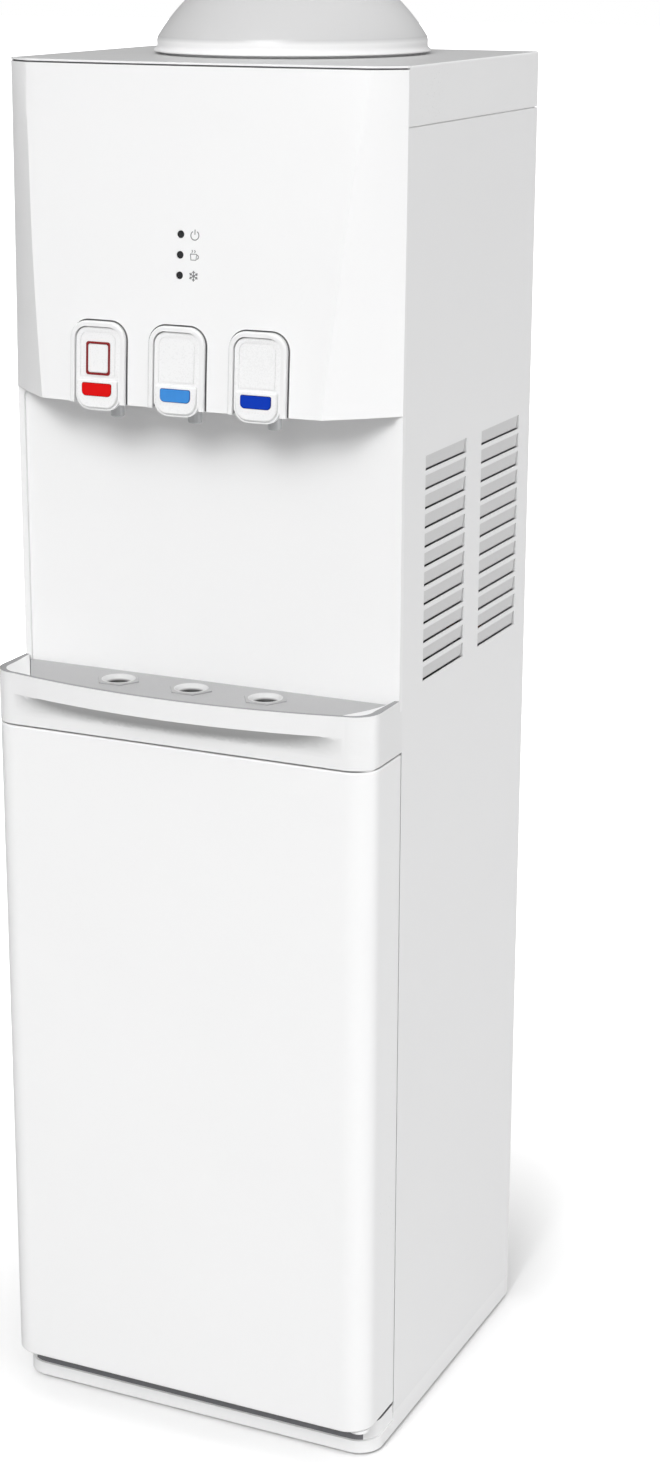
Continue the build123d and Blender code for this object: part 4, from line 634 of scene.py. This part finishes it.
# The side faces of each hole's raised border are painted dark grey, as painted shade lines.
lined(plate, edge_shade_grey, on_border)
hole_pitch = 60.5 * mm
hole_y = -136 * mm
mouth_radius = 12.4 * mm
throat_radius = 6.1 * mm
lining_top_z = plate_top_z + 0.3 * mm
throat_z = plate_top_z - 6.5 * mm
lining_profile = [
    (mouth_radius + 0.3 * mm, plate_top_z + 0.1 * mm),
    (mouth_radius, lining_top_z),
    (mouth_radius - 0.5 * mm, lining_top_z - 0.1 * mm),
    (mouth_radius - 1.2 * mm, plate_top_z - 0.6 * mm),
    (throat_radius + 0.5 * mm, throat_z + 0.6 * mm),
    (throat_radius, throat_z - 0.2 * mm),
    (throat_radius, throat_z - 3 * mm),
]


def spun(name, profile, axis_x, axis_y, steps=64):
    """An outline of (radius, z) points, spun about an upright axis."""
    bare()
    mesh = bpy.data.meshes.new(name)
    points = [(axis_x + radius, axis_y, z) for radius, z in profile]
    edges = [(index, index + 1) for index in range(len(points) - 1)]
    mesh.from_pydata(points, edges, [])
    piece = bpy.data.objects.new(name, mesh)
    bpy.context.collection.objects.link(piece)
    bpy.context.view_layer.objects.active = piece
    piece.select_set(True)
    bpy.ops.object.mode_set(mode="EDIT")
    bpy.ops.mesh.select_all(action="SELECT")
    bpy.ops.mesh.spin(
        steps=steps, angle=2 * math.pi, center=(axis_x, axis_y, 0), axis=(0, 0, 1)
    )
    bpy.ops.mesh.select_all(action="SELECT")
    bpy.ops.mesh.remove_doubles(threshold=2 * weld_reach)
    bpy.ops.mesh.normals_make_consistent(inside=False)
    bpy.ops.object.mode_set(mode="OBJECT")
    return piece


# Painted shade: each lining goes from pale near the plate to near black deeper down, as the
# shade inside the hole.
lining_dark_z = plate_top_z - 3.7 * mm
lining_pale_z = plate_top_z - 2.2 * mm
lining_abs = Finish("lining_abs", Specular_IOR_Level=0.5)
lining_z = lining_abs.axis(lining_abs.place(), 2)
lining_cloud = lining_abs.noise(400, 3)
lining_painted_light = lining_abs.ramp(lining_z, lining_dark_z, lining_pale_z)
lining_painted_light = lining_painted_light * (0.9 + lining_cloud * 0.1)
lining_abs.feed(
    Base_Color=lining_abs.blend(lining_painted_light, grey(0.03), grey(0.70)),
    Roughness=0.35 + lining_cloud * 0.2,
)
lining_wall = 0.2 * mm
lining_crease = math.radians(40)
for place, x in (("left", -hole_pitch), ("middle", 0), ("right", hole_pitch)):
    name = "funnel_lining_" + place
    lining = spun(name, lining_profile, x, hole_y)
    wall = lining.modifiers.new("wall", "SOLIDIFY")
    wall.thickness = lining_wall
    wall.offset = 0
    bpy.ops.object.modifier_apply(modifier=wall.name)
    bpy.ops.object.shade_smooth_by_angle(angle=lining_crease)
    finished_part(lining, name, lining_abs, "grille")


# Head: the tall white front above the taps, one glossy moulding whose face leans back as
# it rises. Thin grooves run under its top edge and round each tap.
# Painted shade: the faces of the head and top cover that look up are painted much darker, down
# to 0.66 of the white.
shell_abs = moulded("shell_abs", plain_white, white_roughness, dust_and_shade_tone=0.66)
# Painted shade: the faces inside the head's grooves are painted dark grey, as the shade in
# them.
groove_shade_grey = moulded("groove_shade_grey", (0.20, 0.20, 0.205), 0.6, coarse_grain)
head = dressed("head_panel", shell_abs, wide_edge)
head_top_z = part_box("head_panel")[1].z
groove_drop = 1.2 * mm
groove_foot = 3.0 * mm
bezel_low, bezel_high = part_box("tap_bezels")
tap_groove = 1.3 * mm
tap_pitch = 63 * mm
tap_half = (bezel_high.x - bezel_low.x) / 2 - tap_pitch + tap_groove


def in_groove(corners, normal):
    """In the groove under the head's top edge, or in one round a tap."""
    if all(head_top_z - groove_foot < c.z < head_top_z - groove_drop for c in corners):
        return True
    if any(c.z > bezel_high.z + tap_groove or c.y > bezel_high.y for c in corners):
        return False
    return any(
        all(abs(c.x - x) < tap_half for c in corners) for x in (-tap_pitch, 0, tap_pitch)
    )


lined(head, groove_shade_grey, in_groove)


# Lamps: three small dark lenses set into the head, one above another, with a green
# circuit board on bosses behind them.
lens_dark = Finish("lens_dark", Specular_IOR_Level=0.6)
lens_cloud = lens_dark.noise(400, 2)
lens_dark.feed(
    Base_Color=lens_dark.blend(lens_cloud, (0.008, 0.008, 0.009, 1), (0.03, 0.031, 0.033, 1)),
    Roughness=0.12 + lens_cloud * 0.15,
)
dressed("light_lenses", lens_dark)
board_green = Finish("board_green", Specular_IOR_Level=0.5)
board_pattern = {"Vector": board_green.place(), "Scale": 160, "Mortar Size": 0.03}
tracks = board_green.node("TexBrick", {}, board_pattern, 1)
board_green.feed(
    Base_Color=board_green.blend(tracks, (0.01, 0.09, 0.035, 1), (0.05, 0.22, 0.09, 1)),
    Roughness=0.35 + tracks * 0.2,
)
dressed("light_board", board_green)


# Signs: plain marks for power, heating and cooling, printed in thin grey lines on the
# head's face, one beside each lamp.
sign_ink = Finish("sign_ink", Specular_IOR_Level=0.3)
ink_wear = sign_ink.noise(1500, 3)
sign_ink.feed(
    Base_Color=sign_ink.blend(ink_wear, (0.16, 0.16, 0.165, 1), (0.24, 0.24, 0.245, 1)),
    Roughness=0.5 + ink_wear * 0.2,
)
sign_x = 11 * mm
sign_reach = 3.9 * mm
sign_line = 0.36 * mm
sign_height = 0.12 * mm


def arc(middle, reach, start, end, steps=20):
    """Points of an arc, with angles in degrees from the right, anticlockwise."""
    turns = [math.radians(start + (end - start) * step / steps) for step in range(steps + 1)]
    return [(middle[0] + reach * math.cos(a), middle[1] + reach * math.sin(a)) for a in turns]


def power_sign():
    """An open ring with an upright line in its gap."""
    return [arc((0, -0.1), 0.8, 122, 418), [(0, 0.95), (0, 0.05)]]


def cup_sign():
    """A cup with a handle and two curls of steam."""
    bowl = [(-0.75, 0.25), (-0.62, -0.8), (0.38, -0.8), (0.5, 0.25), (-0.75, 0.25)]
    steam = [[(x - 0.08, 0.5), (x + 0.08, 0.7), (x - 0.08, 0.95)] for x in (-0.4, 0.12)]
    return [bowl, arc((0.5, -0.25), 0.36, 75, -85), *steam]


def snow_sign():
    """Six arms, each with a small fork."""
    strokes = []
    for arm in range(6):
        turn = math.radians(60 * arm + 30)
        along = Vector((math.cos(turn), math.sin(turn)))
        strokes.append([(0, 0), tuple(along * 0.95)])
        for side in (-1, 1):
            fork = Vector((math.cos(turn + side * 0.8), math.sin(turn + side * 0.8)))
            strokes.append([tuple(along * 0.5), tuple(along * 0.5 + fork * 0.34)])
    return strokes


def printed_sign(name, strokes, z):
    """Thin printed lines that lie on the head's face beside a lamp."""
    _, point, normal, _ = head.ray_cast(Vector((sign_x, -1, z)), Vector((0, 1, 0)))
    bare()
    curve = bpy.data.curves.new(name, "CURVE")
    curve.dimensions = "3D"
    curve.bevel_depth = sign_line
    curve.bevel_resolution = 2
    curve.use_fill_caps = True
    for stroke in strokes:
        spline = curve.splines.new("POLY")
        spline.points.add(len(stroke) - 1)
        for dot, (u, v) in zip(spline.points, stroke):
            dot.co = (u * sign_reach, v * sign_reach, 0, 1)
    sign = bpy.data.objects.new(name, curve)
    bpy.context.collection.objects.link(sign)
    bpy.context.view_layer.objects.active = sign
    sign.select_set(True)
    bpy.ops.object.convert(target="MESH")
    sign = bpy.context.object
    across = Vector((1, 0, 0))
    across = (across - normal * across.dot(normal)).normalized()
    up = normal.cross(across)
    turn = Matrix((across, up, normal)).transposed().to_4x4()
    flat = Matrix.Diagonal((1, 1, sign_height / sign_line, 1))
    sign.matrix_world = Matrix.Translation(point) @ turn @ flat
    return finished_part(sign, name, sign_ink, "cabinet")


bpy.context.view_layer.update()
lamp_low, lamp_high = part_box("light_lenses")
lamp_radius = 3.6 * mm
top_lamp_z = lamp_high.z - lamp_radius
low_lamp_z = lamp_low.z + lamp_radius
printed_sign("sign_power", power_sign(), top_lamp_z)
printed_sign("sign_cup", cup_sign(), (top_lamp_z + low_lamp_z) / 2)
printed_sign("sign_snow", snow_sign(), low_lamp_z)


# Taps: three white paddles in raised frames, hinged near the top. A pushed paddle turns
# and lifts the plastic stem of the valve behind it.
frame_abs = moulded("frame_abs", (0.84, 0.84, 0.842), 0.25)
paddle_abs = moulded("paddle_abs", (0.86, 0.86, 0.862), 0.28)
dressed("tap_bezels", frame_abs, small_edge)
waters = ("hot", "ambient", "cold")
for water in waters:
    dressed("tap_paddle_" + water, paddle_abs, small_edge)
    dressed("valve_stem_" + water, inner_abs)
nozzle_grey = moulded("nozzle_grey", (0.60, 0.61, 0.62), 0.12)
dressed("tap_valves", nozzle_grey)


# Springs: three small coils of steel wire round the stems, which press them down. Each
# rests against the top of its valve chamber.
springs = softened(welded("valve_springs", "valve_springs"), 0)
bare()
springs.select_set(True)
bpy.context.view_layer.objects.active = springs
bpy.ops.object.mode_set(mode="EDIT")
bpy.ops.mesh.select_all(action="SELECT")
bpy.ops.mesh.separate(type="LOOSE")
bpy.ops.object.mode_set(mode="OBJECT")
for spring in list(bpy.context.selected_objects):
    spring_x = sum(vertex.co.x for vertex in spring.data.vertices) / len(spring.data.vertices)
    water = waters[round(spring_x / tap_pitch) + 1]
    finished_part(spring, "valve_spring_" + water, steel, "cabinet")
    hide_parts("valve_springs")
    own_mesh(spring)


# Marks: a red, a light blue and a dark blue inlay, pressed into the paddles to show the
# water. The hot paddle also has a lock button with a thin red border.
def tinted(name, colour):
    """Clear coloured plastic over a fine ribbed ground."""
    finish = Finish(name, Specular_IOR_Level=0.1)
    banded = {"wave_type": "BANDS", "bands_direction": "X"}
    ribs = finish.node("TexWave", banded, {"Vector": finish.place(), "Scale": 60}, 1)
    depth = finish.noise(90, 2)
    shade = ribs * 0.04 + depth * 0.5
    finish.feed(
        Base_Color=finish.blend(shade, tone(colour, 0.85), tone(colour, 1.1)),
        Roughness=0.22 + ribs * 0.04,
        Normal=finish.bump(ribs, 0.004 * mm),
    )
    return finish


red_mark = tinted("red_mark", (0.74, 0.008, 0.008))
light_blue_mark = tinted("light_blue_mark", (0.06, 0.28, 0.72))
dark_blue_mark = tinted("dark_blue_mark", (0.006, 0.045, 0.48))
# Painted shade: darker copies of each mark's colour, put on the side faces of the inlays as
# their shaded edges.
red_mark_side_shade = tinted("red_mark_side_shade", (0.30, 0.004, 0.004))
light_blue_mark_side_shade = tinted("light_blue_mark_side_shade", (0.02, 0.09, 0.30))
dark_blue_mark_side_shade = tinted("dark_blue_mark_side_shade", (0.003, 0.015, 0.13))
mark_rim = 0.5 * mm
mark_finishes = (
    (red_mark, red_mark_side_shade),
    (light_blue_mark, light_blue_mark_side_shade),
    (dark_blue_mark, dark_blue_mark_side_shade),
)
for water, (face, rim) in zip(waters, mark_finishes):
    mark = dressed("tap_mark_" + water, face, mark_rim)
    lined(mark, rim, lambda corners, normal: normal.y > -0.95)
lock_red = moulded("lock_red", (0.24, 0.01, 0.012), 0.35)
dressed("child_lock_ring", lock_red)
fine_edge = 0.2 * mm
dressed("child_lock_button", paddle_abs, fine_edge)


# Top: a white cover with a skirt over the sides and a round hole for the bottle seat.
# The probe that opens the bottle's cap stands upright in the middle of the seat.
dressed("top_cover", shell_abs, wide_edge)
dressed("bottle_probe", white_abs)


# Bottle seat: a loose domed ring, moulded in one with a funnel for the neck of the
# upturned bottle. At the foot of the funnel three spokes carry the hub of the probe.
seat_low, seat_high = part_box("bottle_seat")
cover_top_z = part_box("top_cover")[1].z
seat_x = (seat_low.x + seat_high.x) / 2
seat_y = (seat_low.y + seat_high.y) / 2
seat_foot_radius = (seat_high.x - seat_low.x) / 2
seat_band_radius = 100 * mm
seat_band_z = cover_top_z + 11.5 * mm
seat_shoulder = (88 * mm, cover_top_z + 28 * mm)
seat_rim_radius = 68 * mm
seat_standing_radius = 98 * mm
seat_skirt_radius = 92.5 * mm
seat_wall = 2.5 * mm
neck_radius = 29.5 * mm
neck_round = 1.5 * mm
funnel_floor_z = cover_top_z + 10 * mm
bead_high_z = cover_top_z + 5.2 * mm
bead_low_z = cover_top_z + 3.9 * mm
foot_high_z = cover_top_z + 3.1 * mm
foot_low_z = cover_top_z + 1.8 * mm
foot_round = 0.3 * mm
skirt_foot_z = cover_top_z - 8 * mm
crease = 0.5 * mm


def through(first, middle, last, steps=24):
    """Points on the arc that goes through three points, from the first to the last."""
    (ax, ay), (bx, by), (cx, cy) = first, middle, last
    area = 2 * (ax * (by - cy) + bx * (cy - ay) + cx * (ay - by))
    aa, bb, cc = ax * ax + ay * ay, bx * bx + by * by, cx * cx + cy * cy
    x = (aa * (by - cy) + bb * (cy - ay) + cc * (ay - by)) / area
    y = (aa * (cx - bx) + bb * (ax - cx) + cc * (bx - ax)) / area
    reach = math.hypot(ax - x, ay - y)
    start, end = math.atan2(ay - y, ax - x), math.atan2(cy - y, cx - x)
    turns = [start + (end - start) * step / steps for step in range(steps + 1)]
    return [(x + reach * math.cos(turn), y + reach * math.sin(turn)) for turn in turns]


rim_z = seat_high.z
seat_profile = [
    (neck_radius, seat_low.z),
    (neck_radius, funnel_floor_z - neck_round),
    (neck_radius + 0.3 * neck_round, funnel_floor_z - 0.3 * neck_round),
    (neck_radius + neck_round, funnel_floor_z + neck_round),
    (seat_rim_radius - 2.4 * seat_wall, rim_z - 1.1 * seat_wall),
    (seat_rim_radius - 2 * seat_wall, rim_z - 0.55 * seat_wall),
    (seat_rim_radius - 1.5 * seat_wall, rim_z - 0.15 * seat_wall),
    (seat_rim_radius - seat_wall, rim_z),
    (seat_rim_radius - 0.4 * seat_wall, rim_z - 0.1 * seat_wall),
    *through(
        (seat_rim_radius + 0.2 * seat_wall, rim_z - 0.4 * seat_wall),
        seat_shoulder,
        (seat_band_radius - crease, seat_band_z + crease),
    ),
    (seat_band_radius - crease, seat_band_z - crease),
    (seat_band_radius, seat_band_z - 3 * crease),
    (seat_band_radius - 0.6 * crease, seat_band_z - 9 * crease),
    (seat_band_radius, bead_high_z),
    (seat_band_radius + 4 * foot_round, bead_low_z),
    (seat_foot_radius - foot_round, foot_high_z),
    (seat_foot_radius, foot_high_z - 0.4 * mm),
    (seat_foot_radius, foot_low_z + foot_round),
    (seat_foot_radius - foot_round, foot_low_z),
    (seat_standing_radius, foot_low_z),
    (seat_standing_radius, cover_top_z),
    (seat_skirt_radius, cover_top_z),
    (seat_skirt_radius, skirt_foot_z),
    (seat_skirt_radius - seat_wall, skirt_foot_z),
    (seat_skirt_radius - seat_wall, seat_band_z - seat_wall),
    (seat_shoulder[0] - 2 * seat_wall, seat_shoulder[1] - seat_wall),
    (seat_rim_radius - seat_wall, rim_z - 2 * seat_wall),
    (neck_radius + seat_wall, funnel_floor_z - seat_wall / 2),
    (neck_radius + seat_wall, seat_low.z),
    (neck_radius, seat_low.z),
]
seat = spun("bottle_seat_shell", seat_profile, seat_x, seat_y, 128)

hub_inner = 8.3 * mm
hub_outer = 10.5 * mm
hub_height = 6 * mm
hub_edge = 0.5 * mm
hub_top_z = seat_low.z + hub_height
hub_profile = [
    (hub_inner, seat_low.z),
    (hub_inner, hub_top_z - hub_edge),
    (hub_inner + hub_edge, hub_top_z),
    (hub_outer - hub_edge, hub_top_z),
    (hub_outer, hub_top_z - hub_edge),
    (hub_outer, seat_low.z),
    (hub_inner, seat_low.z),
]
hub = spun("bottle_seat_hub", hub_profile, seat_x, seat_y)
spoke_count = 3
spoke_width = 4 * mm
spoke_start = hub_outer - hub_edge
spoke_end = neck_radius + seat_wall / 2
spoke_middle = Vector(((spoke_start + spoke_end) / 2, 0, seat_low.z + hub_height / 2))
spokes = []
for count in range(spoke_count):
    bare()
    bpy.ops.mesh.primitive_cube_add(size=1)
    spoke = bpy.context.object
    spoke.scale = (spoke_end - spoke_start, spoke_width, hub_height)
    bpy.ops.object.transform_apply(location=False, rotation=False, scale=True)
    softened(spoke, hub_edge)
    turn = Matrix.Rotation(2 * math.pi * count / spoke_count, 4, "Z")
    spoke.matrix_world = Matrix.Translation((seat_x, seat_y, 0)) @ turn
    spoke.matrix_world @= Matrix.Translation(spoke_middle)
    spokes.append(spoke)
bare()
for part in (hub, *spokes, seat):
    part.select_set(True)
bpy.context.view_layer.objects.active = seat
bpy.ops.object.join()
seat_crease = math.radians(28)
bpy.ops.object.shade_smooth_by_angle(angle=seat_crease)

# Painted shade: above the band the seat is painted a darker grey than the white band, as the
# shade of the upper dome.
seat_abs = moulded("seat_abs", plain_white, 0.32)
seat_cloud = seat_abs.noise(9, 3)
seat_z = seat_abs.axis(seat_abs.place(), 2)
dome_shade_mask = seat_abs.ramp(seat_z, seat_band_z - 2 * mm, seat_band_z + 1 * mm)
dome_shade_mask = dome_shade_mask * (0.94 + seat_cloud * 0.06)
band_white, dome_painted_shade = (0.88, 0.88, 0.882, 1), (0.59, 0.59, 0.592, 1)
seat_abs.feed(Base_Color=seat_abs.blend(dome_shade_mask, band_white, dome_painted_shade))
finished_part(seat, "bottle_seat_finished", seat_abs, "seat")
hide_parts("bottle_seat")


# Door: a deep white moulding closed at the back by a pale liner. It swings on two pins
# at its right edge, and a steel strip on the liner meets the magnetic catch.
door_edge = 0.4 * mm
dressed("door_panel", white_abs, door_edge)
dressed("door_liner", inner_abs, door_edge)
dressed("door_strike", zinc)
dressed("door_hinges", white_abs, fine_edge)


# Back fittings: a black frame with a red and a blue rocker, a drain with its cap, and
# the gland for the mains lead.
rocker_red = moulded("rocker_red", (0.55, 0.015, 0.012), 0.3)
rocker_blue = moulded("rocker_blue", (0.012, 0.05, 0.40), 0.3)
dressed("switch_frame", black_abs, small_edge)
dressed("rocker_heat", rocker_red, fine_edge)
dressed("rocker_cool", rocker_blue, fine_edge)
dressed("drain_spout", inner_abs)
dressed("drain_cap", black_abs, small_edge)
dressed("cord_gland", black_abs, small_edge)
